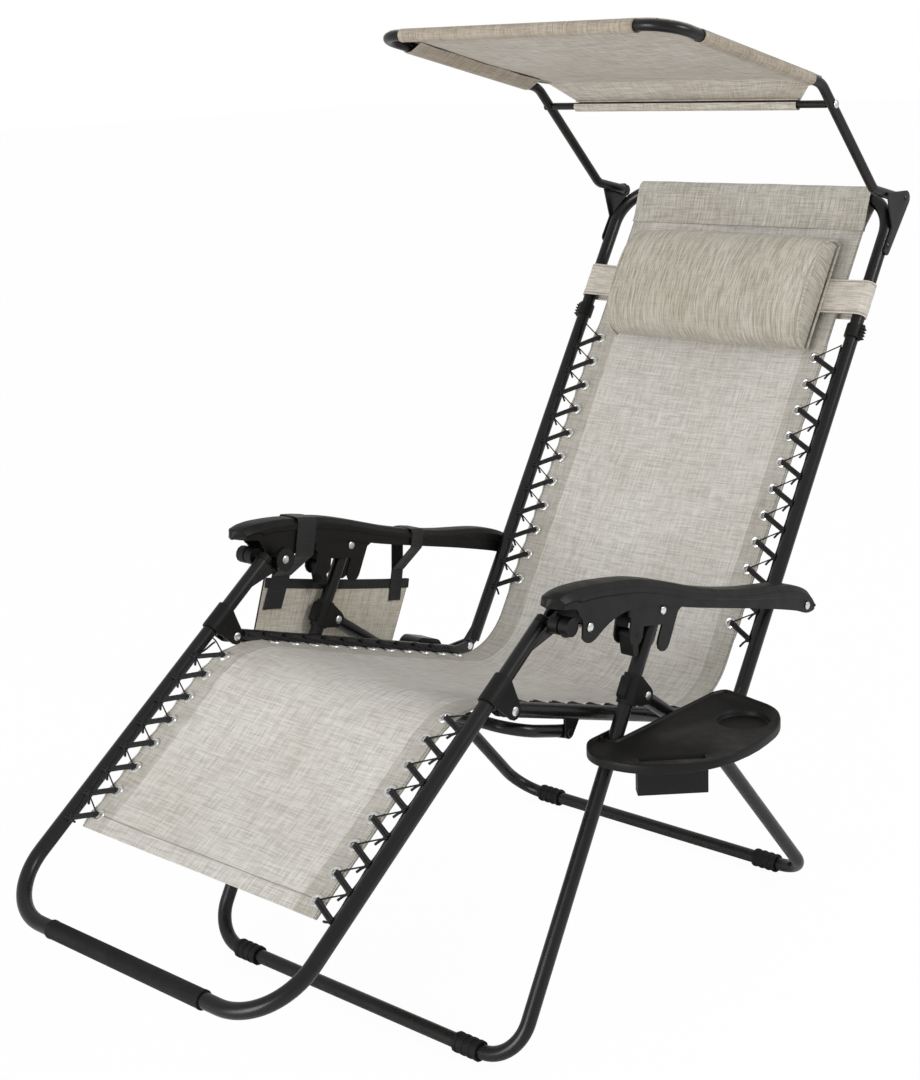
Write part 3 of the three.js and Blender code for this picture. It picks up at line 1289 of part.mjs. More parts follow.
// Canopy bracket: a plate on the outside of the back tube with a wing under the canopy arm and its bolt.
function canopyBracket() {
  const x0 = SEAT_X + TUBE_R + FIT;
  const x1 = x0 + PLATE_T;
  const strip = hull([
    [CANOPY_PIVOT_U, CANOPY_PIVOT_W, BRACKET_EYE_R], [bracketFootU, BACK_AXIS_W, BRACKET_FOOT_R],
  ]);
  const wing = hull([
    [CANOPY_PIVOT_U, CANOPY_PIVOT_W, BRACKET_EYE_R],
    [CANOPY_PIVOT_U - BRACKET_WING_DROP, BRACKET_WING_W, BRACKET_WING_R],
    [CANOPY_PIVOT_U - BRACKET_LENGTH * BRACKET_MID_SHARE, BACK_AXIS_W, BRACKET_FOOT_R],
  ]);
  const eyeX = CANOPY_X + CANOPY_R - CANOPY_EYE_T;
  return joined(
    solid(plate(strip, x0, x1)),
    solid(plate(wing, x0, x1)),
    solid(rivetSolid(eyeX - FIT, x1, CANOPY_PIVOT_U, CANOPY_PIVOT_W)),
    solid(rivetSolid(x0 - BRACKET_PIN_DEPTH, x1, bracketPinU, BACK_AXIS_W, BRACKET_PIN_R, false, true)),
  );
}

// Canopy frame: one bent tube from bolt to bolt, its ends flattened to eyes.
const elbow = V(CANOPY_ELBOW_Y, CANOPY_ELBOW_Z, CANOPY_X);
const crown = V(CANOPY_CROWN_Y, CANOPY_CROWN_Z, CANOPY_X);
const canopyCorner = V(CANOPY_FRONT_Y, CANOPY_FRONT_Z, CANOPY_X);
const rise = crown.clone().sub(elbow);
const canopyBarAt = crown.clone().addScaledVector(rise.clone().normalize(), -CANOPY_BAR_DOWN);

function canopyFrame() {
  const reach = elbow.clone().setZ(0).normalize();
  const start = reach.clone().multiplyScalar(CANOPY_TUBE_START).setZ(CANOPY_X);
  const path = uFrame([
    [start, 0], [elbow, CANOPY_ELBOW_R], [crown, CANOPY_CROWN_R], [canopyCorner, CANOPY_CORNER_R],
  ]);
  const root = reach.clone().multiplyScalar(CANOPY_TUBE_START + CANOPY_EYE_R);
  const eye = hull([[0, 0, CANOPY_EYE_R], [root.x, root.y, CANOPY_R - CANOPY_WALL]]);
  const eyeX = CANOPY_X + CANOPY_R - CANOPY_EYE_T;
  const body = joinBothSides(
    solid(tube(path, CANOPY_R, CANOPY_WALL, THIN_SIDES)), solid(plate(eye, eyeX, eyeX + CANOPY_EYE_T)));
  const barHole = pinHole(canopyBarAt.x, canopyBarAt.y, CANOPY_X, CANOPY_PIN_R);
  return cutBothSides(cutBothSides(body, pinHole(0, 0, CANOPY_X)), barHole);
}

// Cross bar between the arms, pinned through them.
function canopyCrossBar() {
  const inner = CANOPY_X - CANOPY_R - FIT;
  const outer = CANOPY_X + CANOPY_R + FIT;
  const half = [
    [CANOPY_BAR_R, inner], [CANOPY_PIN_R, inner], [CANOPY_PIN_R, outer], [RIVET_HEAD_R, outer],
    [RIVET_HEAD_R - RIVET_HEAD_T, outer + RIVET_HEAD_T], [0, outer + RIVET_HEAD_T],
  ];
  const other = half.map(([r, x]) => [r, -x]).reverse();
  return turned([...other, ...half], canopyBarAt.x, canopyBarAt.y, RIVET_SIDES);
}

// Canopy cloth: a panel over the arms with sleeves on the arms and the front bar, folded down to the cross bar.
function canopyCloth() {
  const lift = CANOPY_R + CLOTH_GAP + CLOTH_T / 2;
  const sleeveOuter = CANOPY_R + CLOTH_GAP + CLOTH_T;
  const run = canopyCorner.clone().sub(crown);
  const dir = run.clone().normalize();
  const up = V(dir.y, -dir.x, 0);
  const length = run.length();
  const half = CANOPY_X;
  const frontHalf = CANOPY_X - CANOPY_CORNER_R - CANOPY_R;
  const fold = crown.clone().setZ(0).addScaledVector(up, lift);
  const top = sheet(CLOTH_ROWS, CLOTH_COLUMNS, CLOTH_T, (i, j) => {
    const u = length * i;
    const corner = THREE.MathUtils.clamp((u - length + CANOPY_CORNER_R) / CANOPY_CORNER_R, 0, 1);
    const width = half - (1 - Math.sqrt(1 - corner ** 2)) * CANOPY_CORNER_R;
    const x = THREE.MathUtils.lerp(-width, width, j);
    const hang = CLOTH_SAG * Math.sin(Math.PI * i) * (1 - (x / half) ** 2);
    return [fold.clone().addScaledVector(dir, u).addScaledVector(up, -hang).setZ(x), up];
  });
  const armSleeve = (x) => {
    const shape = shapeOf(ring(sleeveOuter, CIRCLE_STEPS), [ring(clearing(CANOPY_R), CIRCLE_STEPS)]);
    const from = crown.clone().setZ(x).addScaledVector(dir, CLOTH_CROWN_MARGIN);
    const to = crown.clone().setZ(x).addScaledVector(dir, length - CANOPY_CORNER_R - CLOTH_CORNER_MARGIN);
    return new THREE.ExtrudeGeometry(shape, { steps: 1, extrudePath: route([[from, 0], [to, 0]]) });
  };
  const sleeve = (at, inner, halfLength) => turned([
    [inner, -halfLength], [inner + CLOTH_T, -halfLength], [inner + CLOTH_T, halfLength], [inner, halfLength],
    [inner, -halfLength],
  ], at.x, at.y);
  const down = rise.clone().normalize().negate();
  const out = V(-down.y, down.x, 0).negate();
  const backTop = crown.clone().setZ(0).addScaledVector(out, lift);
  const flap = sheet(CLOTH_FLAP_ROWS, CLOTH_COLUMNS, CLOTH_T, (i, j) => {
    const width = THREE.MathUtils.lerp(CLOTH_FOLD_HALF, CLOTH_BACK_HALF, i);
    const start = i === 0
      ? fold.clone().addScaledVector(dir, CLOTH_T)
      : backTop.clone().addScaledVector(down, CANOPY_BAR_DOWN * i);
    return [start.clone().setZ(THREE.MathUtils.lerp(-width, width, j)), i === 0 ? up : out];
  });
  const barSleeveInner = lift - CLOTH_T;
  return joined(
    solid(top),
    solid(armSleeve(CANOPY_X)),
    solid(armSleeve(-CANOPY_X)),
    solid(sleeve(canopyCorner, clearing(CANOPY_R), frontHalf)),
    solid(flap),
    solid(sleeve(canopyBarAt, barSleeveInner, CLOTH_BACK_HALF)),
  );
}

// Tray outline in plan view, x across and y along.
function trayOutline(inset) {
  const corners = TRAY_OUTLINE_SHARES.map(([a, b, r]) => [
    new THREE.Vector2(TRAY_INNER_X + a * TRAY_WIDTH, TRAY_FRONT_Y + b * TRAY_LENGTH), r * TRAY_CORNER_R,
  ]);
  return offset(rounded(corners), -inset);
}

function upright(outline, z0, z1) {
  return solid(new THREE.ExtrudeGeometry(shapeOf(outline), { depth: z1 - z0, bevelEnabled: false })
    .translate(0, 0, z0));
}

function disc(radius, x, y, z0, z1, sides = 2 * CIRCLE_STEPS) {
  return upright(ring(radius, sides).map((p) => p.add(new THREE.Vector2(x, y))), z0, z1);
}

function slotBlock(margin, z0, z1) {
  const half = SLOT_LENGTH / 2;
  const turn = THREE.MathUtils.degToRad(SLOT_TURN);
  const corners = [[-1, -1], [1, -1], [1, 1], [-1, 1]].map(([a, b]) => {
    const p = new THREE.Vector2(a * (half + margin), b * (SLOT_WIDTH / 2 + margin));
    return p.rotateAround(new THREE.Vector2(0, 0), turn).add(new THREE.Vector2(SLOT_X, SLOT_Y));
  });
  return upright(corners, z0, z1);
}

// The front leg's line in the lounger's own axes, thickened to a radius and cut to two heights.
function legRod(radius, z0, z1, sides = TUBE_SIDES) {
  const at = (z) => {
    const p = sidePoint(frontLeg, (z - frontLeg.at.y) / along(FRONT_LEG_SLOPE).y, 0);
    return V(LEGS_X, p.x, z);
  };
  const path = route([[at(z0), 0], [at(z1), 0]]);
  return tube(path, radius, 0, sides);
}

// Cup tray: a shallow moulded shell with a cup recess, a phone slot with its pocket and a notch for the leg,
// open behind so that the rear leg folds past it.
function cupTray() {
  const low = TRAY_Z - TRAY_DEPTH;
  const plateTop = TRAY_Z - TRAY_RECESS;
  const plateLow = plateTop - TRAY_PLATE;
  const gap = TUBE_R + TRAY_LEG_GAP;
  const notch = (radius) => {
    const rod = solid(legRod(radius, low - OVERRUN, TRAY_Z + OVERRUN));
    return wasm.Manifold.hull([rod, rod.translate([0, 2 * gap + OVERRUN, 0])]);
  };
  const wall = notch(gap + TRAY_WALL).intersect(upright(trayOutline(0), low, TRAY_Z));
  const shell = cut(
    upright(trayOutline(0), low, TRAY_Z),
    upright(trayOutline(TRAY_WALL), low - OVERRUN, plateLow),
    upright(trayOutline(TRAY_RIM), plateTop, TRAY_Z + OVERRUN),
  );
  const filled = joined(
    shell,
    wall,
    disc(CUP_R + TRAY_WALL, CUP_X, CUP_Y, plateTop - CUP_DEPTH - TRAY_PLATE, plateLow + FIT),
    slotBlock(TRAY_WALL, TRAY_Z - POCKET_DEPTH, plateLow + FIT),
  );
  return cut(
    filled,
    notch(gap),
    disc(CUP_R, CUP_X, CUP_Y, plateTop - CUP_DEPTH, TRAY_Z + OVERRUN),
    slotBlock(0, TRAY_Z - POCKET_DEPTH + TRAY_WALL, TRAY_Z + OVERRUN),
  );
}

// Clip: a split ring on the front leg with a plate under the tray and a thumb screw in front.
function trayClip() {
  const top = TRAY_Z - TRAY_DEPTH - FIT;
  const low = top - CLIP_LENGTH;
  const y = sidePoint(frontLeg, (low + CLIP_LENGTH / 2 - frontLeg.at.y) / along(FRONT_LEG_SLOPE).y, 0).x;
  const outer = TUBE_R + FIT + CLIP_WALL;
  const plateShape = [
    new THREE.Vector2(LEGS_X, y - CLIP_PLATE_W / 2), new THREE.Vector2(LEGS_X + CLIP_REACH, y - CLIP_PLATE_W / 2),
    new THREE.Vector2(LEGS_X + CLIP_REACH, y + CLIP_PLATE_W / 2), new THREE.Vector2(LEGS_X, y + CLIP_PLATE_W / 2),
  ];
  const knob = new THREE.CylinderGeometry(CLIP_KNOB_R, CLIP_KNOB_R, CLIP_KNOB_L, TUBE_SIDES);
  knob.translate(LEGS_X, y - outer - CLIP_KNOB_L / 2, low + CLIP_LENGTH / 2);
  const whole = joined(
    solid(legRod(outer, low - OVERRUN, top + OVERRUN)).intersect(disc(CLIP_REACH, LEGS_X, y, low, top)),
    upright(plateShape, top - CLIP_PLATE_T, top),
    solid(knob),
  );
  return cut(whole, solid(legRod(TUBE_R + FIT, low - OVERRUN, top + OVERRUN)));
}

// Pouch: two layers of cloth sewn round three sides, open at the top, outside the right legs.
function pouch() {
  const x1 = -(LEGS_X + POUCH_CLEAR);
  const x0 = x1 - 2 * POUCH_WALL - POUCH_GAP;
  const outline = (inset, lift) => [
    new THREE.Vector2(POUCH_FRONT_V + inset, POUCH_TOP_FRONT_W + lift),
    new THREE.Vector2(POUCH_FRONT_V - POUCH_BOTTOM_SHIFT + inset, POUCH_BOTTOM_FRONT_W + inset),
    new THREE.Vector2(POUCH_REAR_V - 2 * POUCH_BOTTOM_SHIFT - inset, POUCH_BOTTOM_REAR_W + inset),
    new THREE.Vector2(POUCH_REAR_V - inset, POUCH_TOP_REAR_W + lift),
  ];
  return cut(
    solid(plate(outline(0, 0), x0, x1)),
    solid(plate(outline(2 * POUCH_WALL, OVERRUN), x0 + POUCH_WALL, x1 - POUCH_WALL)),
  );
}

// Strap: a loop over the right armrest whose tail lies on the inner face of the pouch.
function pouchStrap(v, width, lean) {
  const gap = STRAP_EDGE_GAP;
  const outerX = LEGS_X + ARM_WIDTH / 2 + gap;
  const innerX = LEGS_X - ARM_WIDTH / 2 - gap;
  const faceX = LEGS_X + POUCH_CLEAR - FIT - STRAP_T;
  const spots = [v - width / 2, v, v + width / 2];
  const high = Math.max(...spots.map((spot) => onStations(armTop, armStations(0), spot))) + gap;
  const edge = Math.min(...spots.map((spot) => onStations(armBottom, armStations(0), spot))) - 2 * gap;
  const join = -STRAP_JOIN_DROP;
  const loop = [
    [innerX, high], [outerX, high], [outerX, edge], [faceX, join], [faceX - STRAP_T, join],
    [innerX, edge],
  ].map(([x, w]) => new THREE.Vector2(-x, w));
  const ringBody = new THREE.ExtrudeGeometry(shapeOf(offset(loop, STRAP_T), [loop]), { depth: width, bevelEnabled: false });
  const tail = shapeOf([[faceX, -STRAP_DROP], [faceX + STRAP_T, -STRAP_DROP],
    [faceX + STRAP_T, join], [faceX, join]].map(([x, w]) => new THREE.Vector2(-x, w)));
  const tailBody = new THREE.ExtrudeGeometry(tail, { depth: width, bevelEnabled: false });
  const turn = new THREE.Matrix4().makeBasis(V(0, 0, 1), V(0, 1, 0), V(-1, 0, 0));
  return joined(...[ringBody, tailBody].map((g) => {
    g.applyMatrix4(turn).translate(v + width / 2, 0, 0);
    const p = g.attributes.position;
    for (let i = 0; i < p.count; i++) {
      p.setX(i, p.getX(i) + lean * Math.min(0, p.getY(i) - edge));
    }
    return solid(g);
  }));
}

// Front legs body.
addMesh(groups.frontLeg, 'front_leg_frame', frontLegFrame(), PAINTED);
const frontPads = sideGroup(level(frontBar));
const rearPads = sideGroup(level(rearBar));
lounger.add(frontPads, rearPads);
addPair(frontPads, 'front_foot_pad', footPad(FRONT_BEND_R), RUBBER);
addPair(groups.frontLeg, 'leg_clamp', legClamp(), PLASTIC);
addPair(groups.frontLeg, 'leg_rivet', legRivet(), STEEL);
addMesh(lounger, 'cup_tray', cupTray(), PLASTIC);
addMesh(lounger, 'tray_clip', trayClip(), PLASTIC);

// Rear legs body.
addMesh(groups.rearLeg, 'rear_leg_frame', rearLegFrame(), PAINTED);
addPair(rearPads, 'rear_foot_pad', footPad(REAR_BEND_R), RUBBER);

// Arms body.
addPair(groups.arm, 'armrest', armrest(), PLASTIC);
addPair(groups.arm, 'arm_bracket', armBracket(), PLASTIC);
addPair(groups.arm, 'arm_rivet', armRivet(), STEEL);
addPair(groups.arm, 'leg_pivot_rivet', legPivotRivet(), STEEL);
addPair(groups.arm, 'back_arm_rivet', backArmRivet(), STEEL);
addPair(groups.arm, 'lock_lever', lockLever(), PLASTIC);
addMesh(groups.arm, 'pouch', pouch(), PILLOW);
addMesh(groups.arm, 'pouch_strap_front', pouchStrap(FRONT_STRAP_V, FRONT_STRAP_WIDTH, FRONT_STRAP_LEAN), CORD);
addMesh(groups.arm, 'pouch_strap_rear', pouchStrap(REAR_STRAP_V, REAR_STRAP_WIDTH, REAR_STRAP_LEAN), CORD);

// Leg rest body.
addMesh(groups.legRest, 'leg_frame', legRestFrame(), PAINTED);
addMesh(groups.legRest, 'foot_sleeve', footSleeve(), RUBBER);
addPair(groups.legRest, 'knee_clamp', kneeClamp(), PLASTIC);
addPair(groups.legRest, 'leg_bumper', legBumper(), RUBBER);
addPair(groups.legRest, 'knee_rivet', kneeRivet(), STEEL);
addMesh(groups.cloth, 'sling_leg', slingPanel(0, kneeSplit - SLING_SPLIT_GAP / 2), SLING);
addPair(groups.cloth, 'lacing_leg', lacing(LACE_LEG_START, kneeSplit - LACE_KNEE_MARGIN, EYELET_PITCH_LEG), CORD);

// Seat body.
addPair(groups.seat, 'seat_rail', seatRail(), PAINTED);
addMesh(groups.seat, 'seat_cross_bar', seatCrossBar(), PAINTED);
addPair(groups.seat, 'hip_rivet', hipRivet(), STEEL);
addMesh(groups.cloth, 'sling_seat', slingPanel(kneeSplit + SLING_SPLIT_GAP / 2, hipSplit - SLING_SPLIT_GAP / 2), SLING);
addPair(groups.cloth, 'lacing_seat', lacing(kneeSplit + LACE_KNEE_MARGIN, hipAt, EYELET_PITCH_SEAT), CORD);

// Back body.
addMesh(groups.back, 'back_frame', backFrame(), PAINTED);
addMesh(groups.cloth, 'sling_back', backSling(), SLING);
addPair(groups.cloth, 'lacing_back', lacing(backAt + LACE_HIP_MARGIN, slingLength - LACE_BACK_MARGIN, EYELET_PITCH_BACK), CORD);
addMesh(groups.back, 'pillow', pillow(), PILLOW);
addMesh(groups.back, 'pillow_strap', pillowBand(), SLING);
addPair(groups.back, 'strap_clip', strapClip(), PLASTIC);
addPair(groups.back, 'canopy_bracket', canopyBracket(), PAINTED);

// Canopy body.
addMesh(groups.canopy, 'canopy_frame', canopyFrame(), PAINTED);
addMesh(groups.canopy, 'canopy_cross_bar', canopyCrossBar(), PAINTED);
addMesh(groups.canopy, 'canopy_cloth', canopyCloth(), CANOPY);

// The origin is the middle of the whole extent, on the floor.
lounger.updateMatrixWorld(true);
const extent = new THREE.Box3().setFromObject(lounger, true);
const middle = extent.getCenter(V(0, 0, 0));
lounger.position.set(-middle.x, -middle.y, -extent.min.z);

export default lounger;
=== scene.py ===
import json
import math

import bmesh
import bpy
import numpy as np
from mathutils import Matrix, Vector


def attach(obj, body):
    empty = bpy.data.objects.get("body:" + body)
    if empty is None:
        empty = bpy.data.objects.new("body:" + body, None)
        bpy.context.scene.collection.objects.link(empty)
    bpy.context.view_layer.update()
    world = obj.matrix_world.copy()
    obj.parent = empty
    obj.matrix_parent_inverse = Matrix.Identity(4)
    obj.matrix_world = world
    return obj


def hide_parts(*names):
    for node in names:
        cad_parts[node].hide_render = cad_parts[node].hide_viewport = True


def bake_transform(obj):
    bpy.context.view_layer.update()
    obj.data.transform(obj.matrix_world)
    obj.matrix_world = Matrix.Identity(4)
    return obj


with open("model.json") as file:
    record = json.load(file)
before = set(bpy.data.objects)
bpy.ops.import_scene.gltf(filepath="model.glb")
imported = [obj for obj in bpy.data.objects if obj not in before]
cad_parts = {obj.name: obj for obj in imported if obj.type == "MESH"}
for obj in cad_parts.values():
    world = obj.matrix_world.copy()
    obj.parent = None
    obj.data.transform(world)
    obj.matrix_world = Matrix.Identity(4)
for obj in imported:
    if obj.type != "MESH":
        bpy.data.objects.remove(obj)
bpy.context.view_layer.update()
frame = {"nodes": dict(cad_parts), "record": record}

solids = frame["nodes"]
carrier = {name: body for body, names in frame["record"]["behaviour"]["bodies"].items() for name in names}

# ---------------------------------------------------------------------------------------------
# Front floor legs: one bent 22 mm steel tube, powder coated black, its lower run the front floor bar.
# Ribbed rubber pads lie under the bar's ends; moulded clamps on the legs carry the rear legs.
TUBE_R, SEAT_X, LEGS_X = 11, 278, 314
FLOOR_BAR_Z = 15
FRONT_BEND_R = 62
KNEE = np.array([-282.0, 518.0])
LEG_SLOPE, SEAT_SLOPE, BACK_SLOPE = 35.1, -18.3, 57.6
HIP_PIVOT, ARM_PIVOT, BACK_PIVOT = (566, 12.5), (147, 14), (196, -32)  # (u, w) on the seat, leg rest and back
SHIFT = np.array([-0.0772340, -0.0107591, 0.0])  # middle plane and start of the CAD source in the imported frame


def place(x, y, z):
    """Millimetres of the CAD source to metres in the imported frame; x, y and z may be arrays."""
    return np.stack(np.broadcast_arrays(x, y, z), -1) * 0.001 + SHIFT


class Side:
    """A side frame: u along a slope from a point of the side view, w square to it, x across the lounger."""

    def __init__(self, at, slope):
        self.at, turn = np.array(at, float), math.radians(slope)
        self.along = np.array([math.cos(turn), math.sin(turn)])
        self.square = np.array([-math.sin(turn), math.cos(turn)])
        self.up = np.array([0, *self.square])

    def yz(self, u, w=0.0):
        return self.at + np.multiply.outer(u, self.along) + np.multiply.outer(w, self.square)

    def __call__(self, u, w, x):
        u, w, x = np.broadcast_arrays(u, w, x)
        yz = self.at + u[..., None] * self.along + w[..., None] * self.square
        return place(x, yz[..., 0], yz[..., 1])


leg_side = Side(KNEE, LEG_SLOPE)
seat_side = Side(KNEE, SEAT_SLOPE)
back_side = Side(seat_side.yz(*HIP_PIVOT), BACK_SLOPE)
arm_front, arm_rear = leg_side.yz(*ARM_PIVOT), back_side.yz(*BACK_PIVOT)
arm_span = float(np.linalg.norm(arm_rear - arm_front))
arm_side = Side(arm_front, math.degrees(math.atan2(*(arm_rear - arm_front)[::-1])))
front_leg_side = Side(arm_side.yz(179, 13), -120.5)
rear_leg_side = Side(front_leg_side.yz(122, 27), -36.3)
front_bar = front_leg_side.yz((FLOOR_BAR_Z - front_leg_side.at[1]) / front_leg_side.along[1])


def unit(v):
    return v / np.linalg.norm(v, axis=-1, keepdims=True)


def route(corners, turn_step=4.0):
    """Straight runs; at a corner of bend radius r millimetres the path turns on the arc that touches both."""
    out = []
    for i, (p, radius) in enumerate(corners):
        if radius == 0:
            out.append(p[None])
            continue
        before, after = unit(corners[i - 1][0] - p), unit(corners[(i + 1) % len(corners)][0] - p)
        turn = math.pi - math.acos(float(before @ after))
        r = radius * 0.001
        centre = p + unit(before + after) * r / math.cos(turn / 2)
        start = p + before * r * math.tan(turn / 2) - centre
        a = np.linspace(0, turn, max(3, math.ceil(math.degrees(turn) / turn_step)))[:, None]
        out.append(centre + start * np.cos(a) - before * r * np.sin(a))
    return np.concatenate(out)


def squares(rows, cols, closed):
    """Corner numbers of every square of a grid of points, row after row. A closed grid joins its last column to
    its first."""
    i, j = np.meshgrid(np.arange(rows - 1), np.arange(cols if closed else cols - 1), indexing="ij")
    a, b = i * cols + j, i * cols + (j + 1) % cols
    return np.stack([a, a + cols, b + cols, b], -1).reshape(-1, 4).tolist()


def tube(rings, uv=None):
    """The wall through a stack of rings, closed at both ends."""
    n, sides = rings.shape[:2]
    caps = [tuple(range(sides))[::-1], tuple(range((n - 1) * sides, n * sides))]
    return rings.reshape(-1, 3), squares(n, sides, True) + caps, np.zeros((n * sides, 2)) if uv is None else uv


def rod(path, radius, up, sides=28, bevel=0.8):
    """A circle carried square to the path: place + radius (side cos a + over sin a), with bevelled, closed ends."""
    r, b = radius * 0.001, bevel * 0.001
    run = unit(np.diff(path, axis=0))
    ahead = unit(np.vstack([run[:1], run[:-1] + run[1:], run[-1:]]))
    path = np.vstack([path[:1], path[:1] + ahead[:1] * b, path[1:-1], path[-1:] - ahead[-1:] * b, path[-1:]])
    ahead = np.vstack([ahead[:1], ahead, ahead[-1:]])
    radii = np.full(len(path), r)
    radii[[0, -1]] -= b
    side = unit(np.cross(ahead, up))
    over = np.cross(side, ahead)
    a = np.arange(sides) * 2 * math.pi / sides
    rings = path[:, None] + radii[:, None, None] * (
        side[:, None] * np.cos(a)[:, None] + over[:, None] * np.sin(a)[:, None])
    gone = np.concatenate([[0], np.cumsum(np.linalg.norm(np.diff(path, axis=0), axis=1))])
    uv = np.stack(np.broadcast_arrays(a * r, gone[:, None]), -1)
    return tube(rings, uv.reshape(-1, 2))


def turned(profile, yz, sides=32):
    """A shape of revolution about a line across the lounger: radius and x place by place, in millimetres."""
    r, x = np.array(profile, float).T
    a = np.arange(sides) * 2 * math.pi / sides
    return tube(place(x[:, None], yz[0] + r[:, None] * np.cos(a), yz[1] + r[:, None] * np.sin(a)))


def mesh_object(name, parts, material, crease=38):
    """One object from parts (points, faces, cloth coordinates): doubles merged, faces outward, smooth but for
    its creases."""
    counts = np.cumsum([0] + [len(p[0]) for p in parts])
    mesh = bpy.data.meshes.new(name)
    mesh.from_pydata(np.concatenate([p[0] for p in parts]), [],
                     [tuple(i + start for i in face) for start, p in zip(counts, parts) for face in p[1]])
    corners = np.zeros(len(mesh.loops), int)
    mesh.loops.foreach_get("vertex_index", corners)
    coordinates = np.concatenate([p[2] for p in parts])[corners]
    mesh.uv_layers.new(name="cloth").data.foreach_set("uv", coordinates.astype(np.float32).ravel())
    merged = bmesh.new()
    merged.from_mesh(mesh)
    bmesh.ops.remove_doubles(merged, verts=merged.verts, dist=1e-6)
    bmesh.ops.recalc_face_normals(merged, faces=merged.faces)
    merged.to_mesh(mesh)
    merged.free()
    mesh.shade_smooth()
    mesh.set_sharp_from_angle(angle=math.radians(crease))
    mesh.materials.append(material)
    made = bpy.data.objects.new(name, mesh)
    bpy.context.scene.collection.objects.link(made)
    return made


def piece(name, parts, material, body, replaced=(), crease=38):
    made = mesh_object(name, parts, material, crease)
    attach(made, body)
    if replaced:
        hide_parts(*replaced)
    return made


def eased(name, material, width=0.7):
    """The CAD solid's own form: a copy whose loose triangles are merged into flat and smooth faces, with every
    hard edge eased by a narrow bevel."""
    mesh = solids[name].data.copy()
    mesh.name = f"{name}_form"
    merged = bmesh.new()
    merged.from_mesh(mesh)
    bmesh.ops.remove_doubles(merged, verts=merged.verts, dist=2e-6)
    bmesh.ops.dissolve_limit(merged, angle_limit=math.radians(0.4), verts=merged.verts, edges=merged.edges)
    merged.to_mesh(mesh)
    merged.free()
    mesh.materials.clear()
    mesh.materials.append(material)
    mesh.shade_smooth()
    mesh.set_sharp_from_angle(angle=math.radians(34))
    made = bpy.data.objects.new(mesh.name, mesh)
    bpy.context.scene.collection.objects.link(made)
    if width:
        bevel = made.modifiers.new("eased", "BEVEL")
        bevel.width, bevel.segments, bevel.limit_method = width * 0.001, 2, "ANGLE"
        bevel.angle_limit, bevel.harden_normals = math.radians(40), True
    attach(made, carrier[name])
    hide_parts(name)
    return made


def linear(code):
    """An sRGB hex colour as linear light, by the standard curve."""
    c = np.array([int(code[i:i + 2], 16) / 255 for i in (1, 3, 5)])
    c = np.where(c <= 0.04045, c / 12.92, ((c + 0.055) / 1.055) ** 2.4)
    return (*c.tolist(), 1)


def add(tree, kind, inputs=(), output=0, **settings):
    """Adds a shader node with its settings; an input is a value or another node's output. Returns its output."""
    made = tree.nodes.new(kind)
    for key, value in settings.items():
        setattr(made, key, value)
    for key, value in dict(inputs).items():
        if isinstance(value, bpy.types.NodeSocket):
            tree.links.new(value, made.inputs[key])
        else:
            made.inputs[key].default_value = value
    return made.outputs[output]


def between(tree, value, low, high, to_low=0.0, to_high=1.0):
    return add(tree, "ShaderNodeMapRange", {0: value, 1: low, 2: high, 3: to_low, 4: to_high})


def blank_material(name):
    """A new material, its node tree and its surface shader."""
    mat = bpy.data.materials.new(name)
    mat.use_nodes = True
    return mat, mat.node_tree, mat.node_tree.nodes["Principled BSDF"]


def hard_finish(name, dark, light, rough, grain, depth, metal=0.0, specular=0.5, patch=7.0):
    """Paint, plastic, rubber or metal: slow patches from dark to light, smeared roughness, a fine grain."""
    mat, tree, shader = blank_material(name)
    at = add(tree, "ShaderNodeTexCoord", output="Object")
    patches = add(tree, "ShaderNodeTexNoise", {"Vector": at, "Scale": patch, "Detail": 4.0, "Roughness": 0.6})
    smears = add(tree, "ShaderNodeTexNoise", {"Vector": at, "Scale": patch * 6, "Detail": 5.0, "Roughness": 0.65})
    fine = add(tree, "ShaderNodeTexNoise", {"Vector": at, "Scale": grain, "Detail": 3.0, "Roughness": 0.6})
    colour = add(tree, "ShaderNodeMix", {0: between(tree, patches, 0.35, 0.68), 6: linear(dark), 7: linear(light)},
                 output=2, data_type="RGBA")
    tree.links.new(colour, shader.inputs["Base Color"])
    tree.links.new(between(tree, smears, 0.3, 0.7, *rough), shader.inputs["Roughness"])
    shader.inputs["Metallic"].default_value = metal
    shader.inputs["Specular IOR Level"].default_value = specular
    relief = add(tree, "ShaderNodeBump", {"Height": fine, "Distance": depth * 0.001, "Strength": 0.8})
    tree.links.new(relief, shader.inputs["Normal"])
    return mat


# Powder coat: satin black with a slight orange peel of about 1.5 mm, which breaks up the highlights.
POWDER_COAT = hard_finish("powder_coat", "#080808", "#0f0e0d", (0.24, 0.36), 650, 0.05, specular=0.42)
# Moulded polypropylene, spark-eroded grain of about 0.7 mm: matt, a little lighter than the tubes.
MOULDED_BLACK = hard_finish("moulded_polypropylene", "#0a0908", "#110f0e", (0.4, 0.54), 1400, 0.06, specular=0.28)
# Moulded rubber: the darkest and dullest surface.
RUBBER = hard_finish("moulded_rubber", "#0a0a0b", "#121212", (0.62, 0.8), 1100, 0.1, specular=0.3)
# Zinc plated steel: bright with fine rolling marks.
PLATED_STEEL = hard_finish("plated_steel", "#dcdddd", "#f4f4f2", (0.22, 0.36), 900, 0.03, metal=1.0, patch=60)


def u_frame(side, half, radius):
    """A tube from the left side's upper end round its corners and back up the right side, in one bent length."""
    corners = [(side(u, w, x), bend_r) for u, w, x, bend_r in half]
    corners += [(side(u, w, -x), bend_r) for u, w, x, bend_r in reversed(half)]
    return rod(route(corners), radius, side.up)


